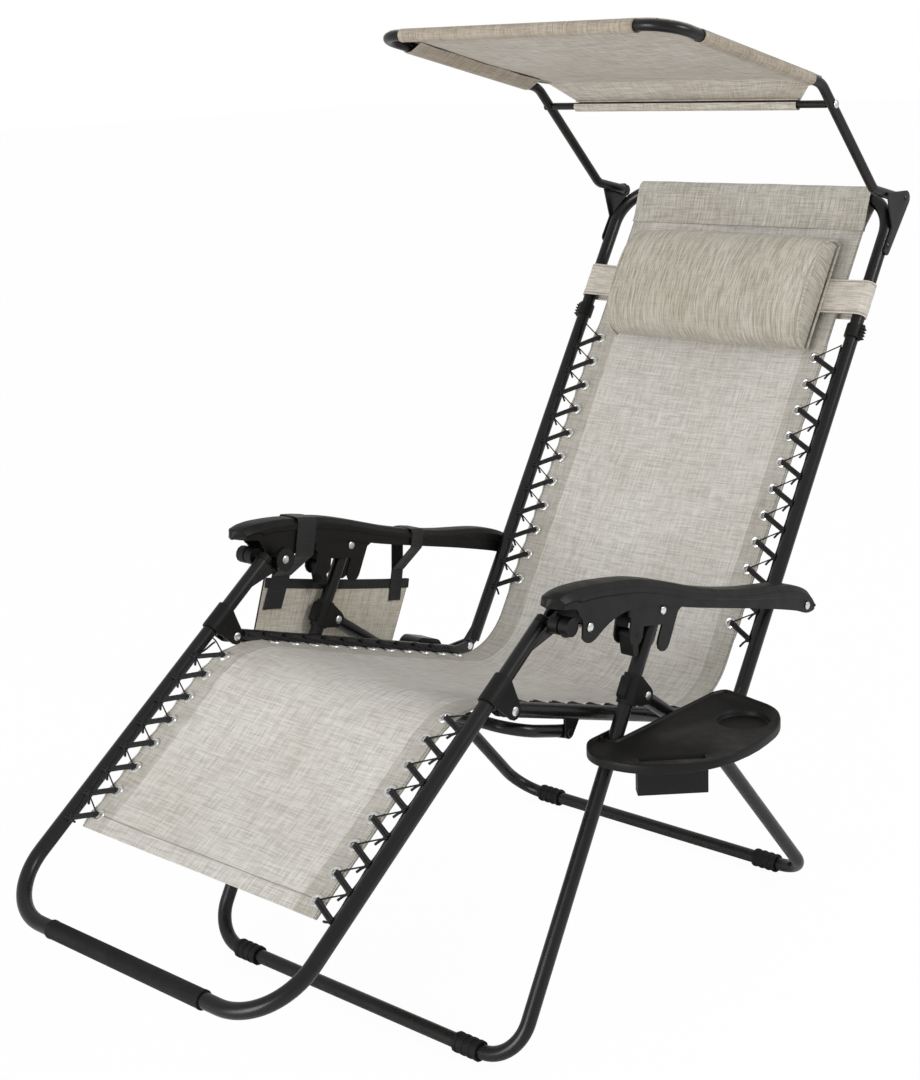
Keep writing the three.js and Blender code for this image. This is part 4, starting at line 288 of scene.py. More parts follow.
def rivet(name):
    """A rivet on its CAD solid's line: a shank with a low domed head wherever the solid has one."""
    co = (np.array([v.co for v in solids[name].data.vertices]) - SHIFT) * 1000
    low, high = co.min(0), co.max(0)
    shank = np.abs(co[:, 0] - (low[0] + high[0]) / 2) < (high[0] - low[0]) / 2 - 3.2
    centre = ((low + high) / 2)[1:]
    reach = np.hypot(*(co[:, 1:] - centre).T)
    x0, x1 = low[0], high[0]
    head = reach.max()
    thin = reach[shank].max() if shank.any() else 3.5
    heads = [reach[co[:, 0] < x0 + 3].max() > head - 1.5, reach[co[:, 0] > x1 - 3].max() > head - 1.5]
    bowl = [(head * k, t) for k, t in ((0.3, 0.0), (0.62, 0.25), (0.86, 0.75), (1.0, 1.5), (1.0, 2.1))]
    profile = [(r, x0 + t) for r, t in bowl] + [(thin, x0 + 2.2)] if heads[0] else [(thin, x0)]
    profile += [(thin, x1 - 2.2)] + [(r, x1 - t) for r, t in reversed(bowl)] if heads[1] else [(thin, x1)]
    piece(f"{name}_turned", [turned(profile, centre)], PLATED_STEEL, carrier[name], [name])


piece("front_leg_tube", [u_frame(front_leg_side, [
    (-14, 0, LEGS_X, 0), (float((front_bar - front_leg_side.at) @ front_leg_side.along), 0, LEGS_X, FRONT_BEND_R)],
    TUBE_R)], POWDER_COAT, "front_legs", ["front_leg_frame"])
for hand in ("left", "right"):
    eased(f"front_foot_pad_{hand}", RUBBER)
    eased(f"leg_clamp_{hand}", MOULDED_BLACK)
    rivet(f"leg_rivet_{hand}")

# ---------------------------------------------------------------------------------------------
# Rear floor legs: a second bent tube with a slight knuckle below the clamps, its lower run the rear floor bar
# with its own rubber pads.
REAR_BEND_R, KNUCKLE_U, KNUCKLE_R = 56, 224.6, 250
rear_lower = Side(rear_leg_side.yz(KNUCKLE_U), -48.8)
rear_bar_u = float((FLOOR_BAR_Z - rear_lower.at[1]) / rear_lower.along[1])
rear_half = [(rear_leg_side(-5, 0, LEGS_X), 0), (rear_lower(0, 0, LEGS_X), KNUCKLE_R),
             (rear_lower(rear_bar_u, 0, LEGS_X), REAR_BEND_R)]
flip = np.array([-1, 1, 1])
mirror = [((p - SHIFT) * flip + SHIFT, r) for p, r in reversed(rear_half)]
piece("rear_leg_tube", [rod(route(rear_half + mirror), TUBE_R, rear_leg_side.up)],
      POWDER_COAT, "rear_legs", ["rear_leg_frame"])
for hand in ("left", "right"):
    eased(f"rear_foot_pad_{hand}", RUBBER)

# ---------------------------------------------------------------------------------------------
# Cup tray: a shallow tray moulded in black polypropylene with a round recess and a slot with its pocket.
# A moulded clip holds it on the left front leg.
TRAY_Z, TRAY_LOW, TRAY_FLOOR = 430, 416, 426
CUP_AT, CUP_R, SLOT_AT, SLOT_TURN = (423, 72), 40, (424, -108), math.radians(44)


def tray_corner(a, b, radius):
    """A corner of the outline: shares of the tray's 200 mm width and 334 mm length, and its bend radius."""
    return np.array([296 + 200 * a, -176 + 334 * b, 0]) * 0.001, radius


def flat_corner(x, y, radius):
    return np.array([x, y, 0]) * 0.001, radius


# Round the leg's notch, which is open behind, and along the curved outer edge.
outline = route([
    flat_corner(296, -90, 0), tray_corner(0, 0.13, 40), tray_corner(0.15, 0.01, 60), tray_corner(0.52, 0, 110),
    tray_corner(0.93, 0.22, 150), tray_corner(1, 0.5, 240), tray_corner(0.93, 0.78, 130),
    tray_corner(0.72, 0.93, 75), tray_corner(0.2, 1, 12), tray_corner(0.155, 0.93, 8), flat_corner(327, -111, 12.5),
    flat_corner(301, -111, 12.5), flat_corner(301, -54, 1.5), flat_corner(296, -58, 1.5)], 5)[:, :2] * 1000
to_next, to_last = unit(np.roll(outline, -1, 0) - outline), unit(outline - np.roll(outline, 1, 0))
outward = unit(to_next + to_last)[:, ::-1] * [1, -1]


def tray_ring(inset, z):
    return place(*(outline + outward * (0.5 - inset)).T, z)


def slot_ring(margin, z):
    """The slot's rectangle, grown by a margin and turned."""
    x, y = np.array([(-1, -1), (1, -1), (1, 1), (-1, 1)]).T * np.array([[46 + margin], [7.5 + margin]])
    c, k = math.cos(SLOT_TURN), math.sin(SLOT_TURN)
    return place(SLOT_AT[0] + x * c - y * k, SLOT_AT[1] + x * k + y * c, z)


def cup_ring(r, z, sides=64):
    turn = np.arange(sides) * 2 * math.pi / sides
    return place(CUP_AT[0] + r * np.cos(turn), CUP_AT[1] + r * np.sin(turn), z)


def ring_wall(rings, cap=False):
    """The wall through a stack of rings, with its last ring closed by a floor if asked."""
    n, sides = len(rings), len(rings[0])
    faces = squares(n, sides, True) + ([tuple(range((n - 1) * sides, n * sides))] if cap else [])
    return np.concatenate(rings), faces, np.zeros((n * sides, 2))


def filled(loops):
    """The flat face between an outer loop and the loops of its holes, cut into triangles."""
    flat = bmesh.new()
    edges = []
    for loop in loops:
        corners = [flat.verts.new(p) for p in loop]
        edges += [flat.edges.new((corners[i - 1], corners[i])) for i in range(len(corners))]
    bmesh.ops.triangle_fill(flat, edges=edges, use_beauty=True)
    flat.verts.index_update()
    points = np.array([v.co[:] for v in flat.verts])
    faces = [tuple(v.index for v in f.verts) for f in flat.faces]
    flat.free()
    return points, faces, np.zeros((len(points), 2))


rim = [(3.4, TRAY_LOW), (1.2, TRAY_LOW), (0.3, TRAY_LOW + 0.6), (0, TRAY_LOW + 1.6), (0, TRAY_Z - 2.2),
       (0.5, TRAY_Z - 0.7), (1.8, TRAY_Z), (3.0, TRAY_Z - 0.3), (3.9, TRAY_Z - 1.4), (4.6, TRAY_FLOOR + 0.6),
       (5.4, TRAY_FLOOR)]
cup = [(CUP_R, TRAY_FLOOR), (CUP_R - 0.8, TRAY_FLOOR - 0.6), (CUP_R - 1.4, 419.2), (CUP_R - 2.4, 417.8),
       (CUP_R - 4.5, 417.2)]
piece("cup_tray_moulding", [
    ring_wall([tray_ring(*step) for step in rim]),
    filled([tray_ring(*rim[-1]), cup_ring(*cup[0]), slot_ring(0.7, TRAY_FLOOR)]),
    ring_wall([cup_ring(*step) for step in cup], True),
    ring_wall([slot_ring(0.7, TRAY_FLOOR), slot_ring(0, TRAY_FLOOR - 0.8), slot_ring(0, 379)], True),
    filled([tray_ring(*rim[0]), slot_ring(3, TRAY_LOW)]),
    ring_wall([slot_ring(3, TRAY_LOW), slot_ring(3, 377), slot_ring(2.2, 376)], True),
], MOULDED_BLACK, "front_legs", ["cup_tray"], 50)
eased("tray_clip", MOULDED_BLACK)

# ---------------------------------------------------------------------------------------------
# Armrests: moulded channels with a chamfered top and a stepped rim. Brackets under them carry the front legs,
# and a lock lever hangs between the cheeks of each.
# Heights of the upper and lower edge over the pivots' line: shares of the span along it, of ARM_UNIT above it.
ARM_UNIT, ARM_HALF, ARM_TABLE, NOSE_ROUND, BUMPER_ARCH = 60, 21.4, 13.6, 15, 18.5
ARM_TOP = ([-0.1, -0.08, -0.04, 0.054, 0.218, 0.489, 0.68, 0.881, 0.96, 1.0, 1.02, 1.042],
           [0.69, 0.8, 0.9, 0.983, 0.99, 0.66, 0.55, 0.57, 0.5, 0.4, 0.29, 0.1])
ARM_LOW = ([-0.1, -0.06, -0.047, -0.037, -0.022, 0.0, 0.025, 0.06, 0.1, 0.148, 0.25, 0.41, 0.6, 0.77, 0.91, 0.955,
            1.0, 1.03, 1.042],
           [0.45, 0.44, 0.33, -0.02, -0.25, -0.36, -0.3, -0.05, 0.16, 0.3, 0.4, 0.25, 0.13, 0.03, -0.08, -0.13,
            -0.2, -0.17, -0.12])


def smooth_through(at, value, s):
    """A smooth curve through the values: cubic pieces whose slope at each place is that of its neighbours."""
    at, value = np.array(at, float), np.array(value, float)
    slope = np.empty(len(at))
    slope[1:-1] = (value[2:] - value[:-2]) / (at[2:] - at[:-2])
    slope[[0, -1]] = (value[1] - value[0]) / (at[1] - at[0]), (value[-1] - value[-2]) / (at[-1] - at[-2])
    i = np.clip(np.searchsorted(at, s, "right") - 1, 0, len(at) - 2)
    span = at[i + 1] - at[i]
    t = (s - at[i]) / span
    return ((2 * t ** 3 - 3 * t ** 2 + 1) * value[i] + (t ** 3 - 2 * t ** 2 + t) * span * slope[i]
            + (3 * t ** 2 - 2 * t ** 3) * value[i + 1] + (t ** 3 - t ** 2) * span * slope[i + 1])


def shell(grid, thick, uv, closed=False):
    """A closed sheet round a grid of points: each point moves half the thickness out along the normal, which is
    the cross product of the grid's two slopes, and half of it in. A closed grid's last row meets its first."""
    if closed:
        wrap = np.concatenate([grid[-1:], grid, grid[:1]])
        down = np.gradient(wrap, axis=0)[1:-1]
    else:
        down = np.gradient(grid, axis=0)
    n = unit(np.cross(down, np.gradient(grid, axis=1)))
    half = np.broadcast_to(np.asarray(thick, float), grid.shape[:2])[..., None] * 0.0005
    rows, cols = grid.shape[:2]
    layer = rows * cols
    points = np.concatenate([(grid + n * half).reshape(-1, 3), (grid - n * half).reshape(-1, 3)])
    i, j = np.meshgrid(np.arange(rows if closed else rows - 1), np.arange(cols - 1), indexing="ij")
    a, b = (i * cols + j).ravel(), (((i + 1) % rows) * cols + j).ravel()
    faces = np.stack([a, b, b + 1, a + 1], 1).tolist() + (layer + np.stack([a, a + 1, b + 1, b], 1)).tolist()
    if closed:
        k = np.arange(rows)
        for first in (0, cols - 1):
            e, f = k * cols + first, ((k + 1) % rows) * cols + first
            faces += np.stack([e, f, f + layer, e + layer], 1).tolist()
    else:
        rim = np.concatenate([np.arange(rows - 1) * cols, (rows - 1) * cols + np.arange(cols - 1),
                              np.arange(rows - 1, 0, -1) * cols + cols - 1, np.arange(cols - 1, 0, -1)])
        after = np.roll(rim, -1)
        faces += np.stack([rim, rim + layer, after + layer, after], 1).tolist()
    return points, faces, np.concatenate([uv.reshape(-1, 2)] * 2)


share = np.concatenate([np.linspace(-0.1, 0.3, 120)[:-1], np.linspace(0.3, 1.042, 110)])
v = share * arm_span
arm_top, arm_low = smooth_through(*ARM_TOP, share) * ARM_UNIT, smooth_through(*ARM_LOW, share) * ARM_UNIT
bumper = leg_side.yz(124.8, 38.6) - arm_front
bumper_v, bumper_w = arm_side.along @ bumper, arm_side.square @ bumper
arch = bumper_w + np.sqrt(np.clip(BUMPER_ARCH ** 2 - (v - bumper_v) ** 2, 0, None))
arm_low = np.where(np.abs(v - bumper_v) < BUMPER_ARCH, np.maximum(arm_low, arch), arm_low)
arm_low = np.minimum(arm_low, arm_top - 4)
drop_to = np.minimum(17, (arm_top - arm_low) / 2)
# Half of the section from the skirt's lower edge up over the stepped rim and the chamfer to the middle.
half_x = np.concatenate([np.full(7, 19.2), [19.6, 21.2, ARM_HALF], np.full(5, ARM_HALF),
                         np.linspace(21.2, 14.2, 8), np.linspace(ARM_TABLE, 0, 9)])
low_part = arm_low[:, None] + (arm_top - drop_to - arm_low)[:, None] * np.append(np.linspace(0, 1, 7), [1, 1, 1])
low_part = low_part + np.array([0] * 7 + [0.1, 0.25, 0.8])
rise_part = (arm_top - drop_to)[:, None] + 0.8 + (drop_to - 9.3).clip(0.2)[:, None] * np.linspace(0, 1, 6)[1:]
over_part = arm_top[:, None] + np.linspace(-8.2, -1.4, 8)
flat_part = arm_top[:, None] - 1.1 + 0.8 * (1 - (np.linspace(ARM_TABLE, 0, 9) / ARM_TABLE) ** 2)
half_w = np.concatenate([low_part, rise_part, over_part, flat_part], axis=1)
half_w = np.minimum(half_w, flat_part[:, -1:])
section_x = np.concatenate([-half_x, half_x[::-1][1:]]) + 0 * v[:, None]
section_w = np.concatenate([half_w, half_w[:, ::-1][:, 1:]], axis=1)
# The nose is rounded in plan, and its front wall is the first section drawn in to its lower middle.
nose = np.clip((-0.02 - share) / 0.08, 0, 1)[:, None] ** 1.5
section_v = v[:, None] - NOSE_ROUND * (1 - (section_x / ARM_HALF) ** 2) * nose
draw, out = np.array([0.02, 0.3, 0.6, 0.85, 0.96])[:, None], np.array([1.2, 1.2, 1.0, 0.7, 0.3])[:, None]
section_v = np.concatenate([section_v[0].min() + (section_v[:1] - section_v[0].min()) * draw - out, section_v])
section_x = np.concatenate([section_x[:1] * draw, section_x])
section_w = np.concatenate([arm_low[0] + (section_w[:1] - arm_low[0]) * draw, section_w])
for hand, side in (("left", 1), ("right", -1)):
    grid = arm_side(section_v, section_w, side * LEGS_X + section_x)
    piece(f"armrest_{hand}_moulding", [shell(grid, 3.0, np.zeros((*grid.shape[:2], 2)))], MOULDED_BLACK, "arms",
          [f"armrest_{hand}"], 32)
    eased(f"arm_bracket_{hand}", MOULDED_BLACK)
    eased(f"lock_lever_{hand}", MOULDED_BLACK)
    for kind in ("arm_rivet", "leg_pivot_rivet", "back_arm_rivet"):
        rivet(f"{kind}_{hand}")

# ---------------------------------------------------------------------------------------------
# Leg rest: a long bent tube with a lug, disc and spacer on each side for the armrest's rivet, a foam sleeve on
# the foot bar, knee clamps, and ribbed bumpers plugged into its upper ends.
LEG_AXIS_W, FOOT_BAR_U = 38.6, -531


def lug(circles, side, x0, x1, bevel=0.6, steps=48):
    """A plate whose outline is drawn tight round circles (u, w, radius): the furthest circle point in every
    direction, drawn in by the bevel at both faces."""
    a = np.arange(steps) * 2 * math.pi / steps
    c, s = np.cos(a), np.sin(a)
    u, w, r = np.array(circles, float).T
    best = np.argmax(np.outer(c, u) + np.outer(s, w) + r, axis=1)
    b = min(bevel, abs(x1 - x0) / 3)
    inset = np.array([b, 0, 0, b])[:, None]
    ends = np.array([x0, x0 + b, x1 - b, x1])[:, None]
    return tube(side(u[best] + (r[best] - inset) * c, w[best] + (r[best] - inset) * s, ends))


def leg_lugs(side):
    x = side * SEAT_X
    return [
        lug([(*ARM_PIVOT, 13), (76, LEG_AXIS_W - 3.5, 7), (112, LEG_AXIS_W - 7, 7)], leg_side,
            x - side * 3, x + side * 3),
        lug([(*ARM_PIVOT, 19)], leg_side, x - side * 12, x - side * 6, 1.0),
        lug([(*ARM_PIVOT, 8)], leg_side, x - side * 6.3, side * (LEGS_X - 21.3)),
    ]


piece("leg_tube", [u_frame(leg_side, [(119, LEG_AXIS_W, SEAT_X, 0), (FOOT_BAR_U, LEG_AXIS_W, SEAT_X, 95)], TUBE_R)]
      + leg_lugs(1) + leg_lugs(-1), POWDER_COAT, "leg_rest", ["leg_frame"])
foot_bar = leg_side.yz(FOOT_BAR_U, LEG_AXIS_W)
half = 157
piece("foot_bar_sleeve", [turned(
    [(11.3, -half), (12.9, -half), (13.5, -half + 0.7), (13.5, -half + 3.5), (13.0, -half + 4.2),
     (13.0, half - 4.2), (13.5, half - 3.5), (13.5, half - 0.7), (12.9, half), (11.3, half)], foot_bar, 40)],
    RUBBER, "leg_rest", ["foot_sleeve"])
for hand in ("left", "right"):
    eased(f"knee_clamp_{hand}", MOULDED_BLACK)
    eased(f"leg_bumper_{hand}", MOULDED_BLACK, 0.4)
    rivet(f"knee_rivet_{hand}")

# ---------------------------------------------------------------------------------------------
# Seat: two tube rails with forks at the hip, lugs for the bent cross bar and blocks that rest on the rear legs.
CROSS_U, CROSS_W = 142, -28
rest_r = float((seat_side.yz(458) - rear_leg_side.at) @ rear_leg_side.square) - TUBE_R - 0.2
for hand, side in (("left", 1), ("right", -1)):
    x = side * SEAT_X
    rail = [rod(seat_side(np.array([-8.0, 552.0]), 0, x), TUBE_R, seat_side.up)]
    for plate_x in (x + side * 4.3, x - side * 7.8):
        rail.append(lug([(*HIP_PIVOT, 10), (543, 0, 7.5), (520, 0, 7.5)], seat_side, plate_x, plate_x + side * 3.5))
    rail.append(lug([(CROSS_U, CROSS_W, 10), (CROSS_U - 14, -5.5, 3.7), (CROSS_U + 14, -5.5, 3.7)], seat_side,
                    x + side * 2.8, x + side * 6.8))
    rail.append(lug([(458, 0, rest_r), (492, 0, rest_r)], seat_side, x + side * 9.8, side * (LEGS_X + TUBE_R), 1.2))
    piece(f"seat_tube_{hand}", rail, POWDER_COAT, "seat", [f"seat_rail_{hand}"])
    rivet(f"hip_rivet_{hand}")
cross = [u_frame(seat_side, [(CROSS_U - 20, CROSS_W, SEAT_X, 0), (30, -30, SEAT_X, 45)], 9)]
for side in (1, -1):
    x = side * SEAT_X
    cross.append(lug([(CROSS_U, CROSS_W, 10), (CROSS_U - 30, CROSS_W, 8.4)], seat_side,
                     x - side * 2.5, x + side * 2.5))
    cross.append(turned([(r, x + side * t) for r, t in ((3, 0), (3, 7.1), (6.5, 7.1), (5.6, 8.7), (2, 9.3))],
                        seat_side.yz(CROSS_U, CROSS_W)))
piece("seat_cross_tube", cross, POWDER_COAT, "seat", ["seat_cross_bar"])

# ---------------------------------------------------------------------------------------------
# Back frame: a tall bent tube with flattened feet on the hip rivets and lugs behind for the armrests. Brackets of
# black steel near the top carry the canopy; ribbed clips keep the pillow's band in place.
BACK_AXIS_W, BACK_TOP_U = -12, 904
back_parts = [u_frame(back_side, [(14, BACK_AXIS_W, SEAT_X, 0), (BACK_TOP_U, BACK_AXIS_W, SEAT_X, 70)], TUBE_R)]
for side in (1, -1):
    x = side * SEAT_X
    back_parts.append(lug([(0, 0, 10), (21.5, BACK_AXIS_W, 7.5), (46, BACK_AXIS_W, 7.5)], back_side,
                          x - side * 4, x + side * 4))
    back_parts.append(lug([(*BACK_PIVOT, 10), (181, BACK_AXIS_W, 3.7), (211, BACK_AXIS_W, 3.7)], back_side,
                          x + side * 5, x + side * 11))
piece("back_tube", back_parts, POWDER_COAT, "back", ["back_frame"])
for hand in ("left", "right"):
    eased(f"strap_clip_{hand}", MOULDED_BLACK, 0.4)
    eased(f"canopy_bracket_{hand}", POWDER_COAT, 0.4)

# ---------------------------------------------------------------------------------------------
# Sling: one length of heathered polyester, hemmed double along both sides, with a sleeve over the back's top
# bar. It hangs between the side tubes with a slight sag and bends over the knee and the hip.
SLING_HALF, SLING_T, EYELET_X = 239, 2.2, 222
KNEE_CURVE, HIP_CURVE = 150, 110


def crossing(p, d, q, e):
    """Where the line p + t d meets the line q + s e."""
    return p + d * ((q[0] - p[0]) * e[1] - (q[1] - p[1]) * e[0]) / (d[0] * e[1] - d[1] * e[0])


knee_corner = crossing(leg_side.yz(0, LEG_AXIS_W), leg_side.along, KNEE, seat_side.along)
hip_corner = crossing(KNEE, seat_side.along, back_side.yz(0, BACK_AXIS_W), back_side.along)
sling_start = leg_side.yz(-381, LEG_AXIS_W)
sling_end = back_side.yz(BACK_TOP_U - 59, BACK_AXIS_W)
knee_turn, hip_turn = math.radians(LEG_SLOPE - SEAT_SLOPE), math.radians(BACK_SLOPE - SEAT_SLOPE)
knee_cut, hip_cut = KNEE_CURVE * math.tan(knee_turn / 2), HIP_CURVE * math.tan(hip_turn / 2)
leg_run = float(np.linalg.norm(knee_corner - sling_start)) - knee_cut
seat_at = leg_run + KNEE_CURVE * knee_turn
hip_at = seat_at + float(np.linalg.norm(hip_corner - knee_corner)) - knee_cut - hip_cut
back_at = hip_at + HIP_CURVE * hip_turn
sling_length = back_at + float(np.linalg.norm(sling_end - hip_corner)) - hip_cut
knee_split = leg_run + KNEE_CURVE * knee_turn * 0.7


def sling_line(s):
    """Side-view point and upward normal of the sling at length s: its slope turns evenly over the two curves,
    and the point is the sum of the small steps along that slope."""
    fine = np.linspace(0, sling_length + 4, 6001)
    slope = math.radians(LEG_SLOPE) - np.clip((fine - leg_run) / KNEE_CURVE, 0, knee_turn)
    slope = slope + np.clip((fine - hip_at) / HIP_CURVE, 0, hip_turn)
    step = np.diff(fine)
    middle = (slope[:-1] + slope[1:]) / 2
    y = sling_start[0] + np.concatenate([[0], np.cumsum(step * np.cos(middle))])
    z = sling_start[1] + np.concatenate([[0], np.cumsum(step * np.sin(middle))])
    a = np.interp(s, fine, slope)
    return np.interp(s, fine, y), np.interp(s, fine, z), -np.sin(a), np.cos(a)


SAG_AT = [0, leg_run / 2, (leg_run + seat_at) / 2, (seat_at + hip_at) / 2, (hip_at + back_at) / 2,
          (back_at + sling_length) / 2, sling_length]
SAG_DEPTH = [0, 14, 7, 20, 15, 16, 0]


def eyelet_row(start, end, pitch):
    """Evenly pitched places between two lengths, centred between them."""
    count = math.floor((end - start) / pitch)
    return (start + end - count * pitch) / 2 + np.arange(count + 1) * pitch


ROWS = {
    "leg": (eyelet_row(20, knee_split - 46, 43.5), 43.5, "leg_rest"),
    "seat": (eyelet_row(knee_split + 46, hip_at, 44), 44, "seat"),
    "back": (eyelet_row(back_at + 40, sling_length - 30, 46.7), 46.7, "back"),
}
# The elastic ends below the pillow's clips: the cloth above them is held by its sleeve.
lace_top = float(np.linalg.norm(back_side.yz(652, BACK_AXIS_W) - hip_corner)) - hip_cut + back_at
ROWS["back"] = (ROWS["back"][0][ROWS["back"][0] < lace_top], 46.7, "back")
all_eyelets = np.concatenate([row for row, _, _ in ROWS.values()])


def sling_grid(s0, s1, step=6.0):
    """The cloth: across it a parabola of sag; along its edge it draws in between the eyelets, and faint pulls
    run inwards from each."""
    s = np.linspace(s0, s1, max(2, math.ceil((s1 - s0) / step)) + 1)
    across = np.concatenate([np.linspace(-1, -0.8, 9)[:-1], np.linspace(-0.8, 0.8, 31), np.linspace(0.8, 1, 9)[1:]])
    gap = np.abs(s[:, None] - all_eyelets[None]).min(1)
    edge = SLING_HALF - 1.8 * np.clip(gap / 22, 0, 1.2) ** 2
    s2, a2 = np.meshgrid(s, across, indexing="ij")
    x = a2 * edge[:, None]
    y, z, ny, nz = sling_line(s)
    sag = smooth_through(SAG_AT, SAG_DEPTH, s)[:, None] * (1 - a2 ** 2)
    pull = 1.0 * np.cos(np.clip(gap / 23, 0, 1) * math.pi)[:, None] * np.clip((np.abs(a2) - 0.55) / 0.38, 0, 1) ** 2
    slack = 1.5 * np.sin(s2 / 61 + 2.2 * a2) * np.sin(s2 / 143 - 1.1 * a2 + 1) * (1 - a2 ** 2)
    lift = pull * 0.9 + slack - sag
    grid = place(x, y[:, None] + ny[:, None] * lift, z[:, None] + nz[:, None] * lift)
    uv = np.stack([x, s2], -1) * 0.001
    return grid, uv


def woven(name, dark, middle, light, tint, warp=0.5, thread=1.5, hem=None, stitches=(), sheen=0.12):
    """Open heathered weave. Slubs run along and across the cloth, about a thread wide and 20 to 40 mm long, over
    longer and wider streaks; the thread is drawn about twice as coarse as the real one so that it shows.
    hem is (colour, distance from the middle in mm); each stitch line is (axis, place in mm)."""
    mat, tree, shader = blank_material(name)
    uv = add(tree, "ShaderNodeUVMap", uv_map="cloth")
    split = tree.nodes.new("ShaderNodeSeparateXYZ")
    tree.links.new(uv, split.inputs[0])

    def maths(operation, a, b=0.0):
        return add(tree, "ShaderNodeMath", {0: a, 1: b}, operation=operation)

    def slubs(along_v, width, length, seed):
        scale = (1000 / width, 1000 / length, 1) if along_v else (1000 / length, 1000 / width, 1)
        moved = add(tree, "ShaderNodeMapping", {"Vector": uv, "Location": (seed, seed * 0.7, seed), "Scale": scale})
        made = add(tree, "ShaderNodeTexNoise", {"Vector": moved, "Scale": 1.0, "Detail": 2.0, "Roughness": 0.6})
        return between(tree, made, 0.3, 0.7)

    value = 0.0
    for along_v, width, length, seed, weight in (
            (True, thread, 30, 3.1, 0.7), (False, thread, 30, 7.7, 0.7),
            (True, thread * 2.8, 150, 1.3, 0.3), (False, thread * 2.8, 130, 5.9, 0.3)):
        share = weight * (warp if along_v else 1 - warp)
        value = add(tree, "ShaderNodeMath", {0: slubs(along_v, width, length, seed), 1: share, 2: value},
                    operation="MULTIPLY_ADD")
    ramp = tree.nodes.new("ShaderNodeValToRGB")
    tree.links.new(value, ramp.inputs[0])
    ends = ramp.color_ramp.elements
    ends[0].position, ends[0].color = 0.3, linear(dark)
    ends[1].position, ends[1].color = 0.7, linear(light)
    ends.new(0.5).color = linear(middle)

    def tinted(colour, by, factor):
        deep = add(tree, "ShaderNodeMix", {0: 1.0, 6: colour, 7: linear(by)}, output=2, data_type="RGBA",
                   blend_type="MULTIPLY")
        return add(tree, "ShaderNodeMix", {0: factor, 6: colour, 7: deep}, output=2, data_type="RGBA")

    slow = add(tree, "ShaderNodeTexNoise", {"Vector": uv, "Scale": 7.0, "Detail": 3.0})
    colour = tinted(ramp.outputs[0], tint, between(tree, slow, 0.35, 0.7, 0.0, 0.6))
    across = maths("ABSOLUTE", split.outputs[0])
    # The hem tint darkens the cloth beyond the given distance; on the sling this is partly painted shade, for the
    # light that the double hem keeps from showing through.
    if hem:
        start = hem[1] * 0.001
        colour = tinted(colour, hem[0], between(tree, across, start - 0.0006, start + 0.0006))
    height = value
    for axis, at in stitches:
        place_along, place_across = (split.outputs[1], across) if axis == "u" else (split.outputs[0], split.outputs[1])
        off = maths("ABSOLUTE", maths("SUBTRACT", place_across, at * 0.001))
        line = between(tree, off, 0.0006, 0.0013, 1.0, 0.0)
        dash = maths("GREATER_THAN", maths("SINE", maths("MULTIPLY", place_along, 2 * math.pi / 0.0044)), -0.4)
        seam = maths("MULTIPLY", line, maths("MAXIMUM", dash, 0.3))
        colour = tinted(colour, "#b6b1aa", seam)
        height = maths("SUBTRACT", height, seam)
    tree.links.new(colour, shader.inputs["Base Color"])
    shader.inputs["Roughness"].default_value = 0.85
    shader.inputs["Specular IOR Level"].default_value = 0.25
    shader.inputs["Sheen Weight"].default_value = sheen
    relief = add(tree, "ShaderNodeBump", {"Height": height, "Distance": 0.0005, "Strength": 0.7})
    tree.links.new(relief, shader.inputs["Normal"])
    return mat


# Heathered polyester sling, warm light grey. Its single layer is painted lighter for the white light that shows
# through the open weave, and its hems are painted greyer and darker for the lesser light that shows through the double
# cloth; the hems are also denser.
SLING_CLOTH = woven("heathered_sling_polyester", "#b4b0a9", "#cac7c1", "#d9d6d1", "#ece9e3",
                    hem=("#e6e5e1", 195), stitches=(("u", 235), ("v", 24)))
# The same cloth laid double round the top bar, with the cross threads showing: denser, and painted greyer and darker
# for the light that the double layer keeps from showing through.
DOUBLE_SLING_CLOTH = woven("double_sling_polyester", "#99958c", "#b3afa6", "#c6c2ba", "#ebe7e0", warp=0.62)

middle_s = (seat_at + hip_at) / 2
for name, s0, s1, a, b, bend, replaced in (
        ("sling_front", 0, middle_s, "leg_rest", "seat", (knee_split - 44, knee_split + 44),
         ["sling_leg", "sling_seat"]),
        ("sling_rear", middle_s, sling_length + 3, "seat", "back", (hip_at + 4, back_at + 34), ["sling_back"])):
    grid, uv = sling_grid(s0, s1)
    hem_thick = SLING_T + 0.9 * (np.abs(uv[..., 0]) > 0.196) + 0.9 * (uv[..., 1] < 0.024)
    made = mesh_object(name, [shell(grid, hem_thick, uv)], SLING_CLOTH, 60)
    y, z, _, _ = sling_line(np.array(bend))
    place(0, y[0], z[0]).tolist()
    place(0, y[1], z[1]).tolist()
    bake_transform(made)
    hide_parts(*replaced)


def run_along(a, b):
    """Lengths along a line of points from its first."""
    return np.concatenate([[0], np.cumsum(np.hypot(np.diff(a), np.diff(b)))])


# Sleeve over the top bar: the panel's end goes round the bar and is sewn down on its own back.
seam_u, sleeve_r = BACK_TOP_U - 59, 15.1
reach = BACK_TOP_U - seam_u
touch = math.acos(sleeve_r / reach)
a = np.linspace(math.pi - touch, -(math.pi - touch), 40)
u = np.concatenate([np.linspace(seam_u - 6, seam_u, 3), seam_u + np.linspace(0.12, 0.94, 12) * (
    BACK_TOP_U + sleeve_r * math.cos(a[0]) - seam_u), BACK_TOP_U + sleeve_r * np.cos(a)])
w = np.concatenate([[2.6, 2.4, 2.0], np.linspace(0.12, 0.94, 12) * sleeve_r * math.sin(a[0]) + 0.9,
                    sleeve_r * np.sin(a)])
u = np.concatenate([u, u[:15][::-1]])
w = np.concatenate([w, -w[:15][::-1]])
x = np.linspace(-238, 238, 61)
ripple = 0.9 * np.sin(x / 23) * np.sin(x / 61 + 1)
grid = back_side(u[:, None], BACK_AXIS_W + w[:, None] + ripple * (np.abs(w[:, None]) > 1), x)
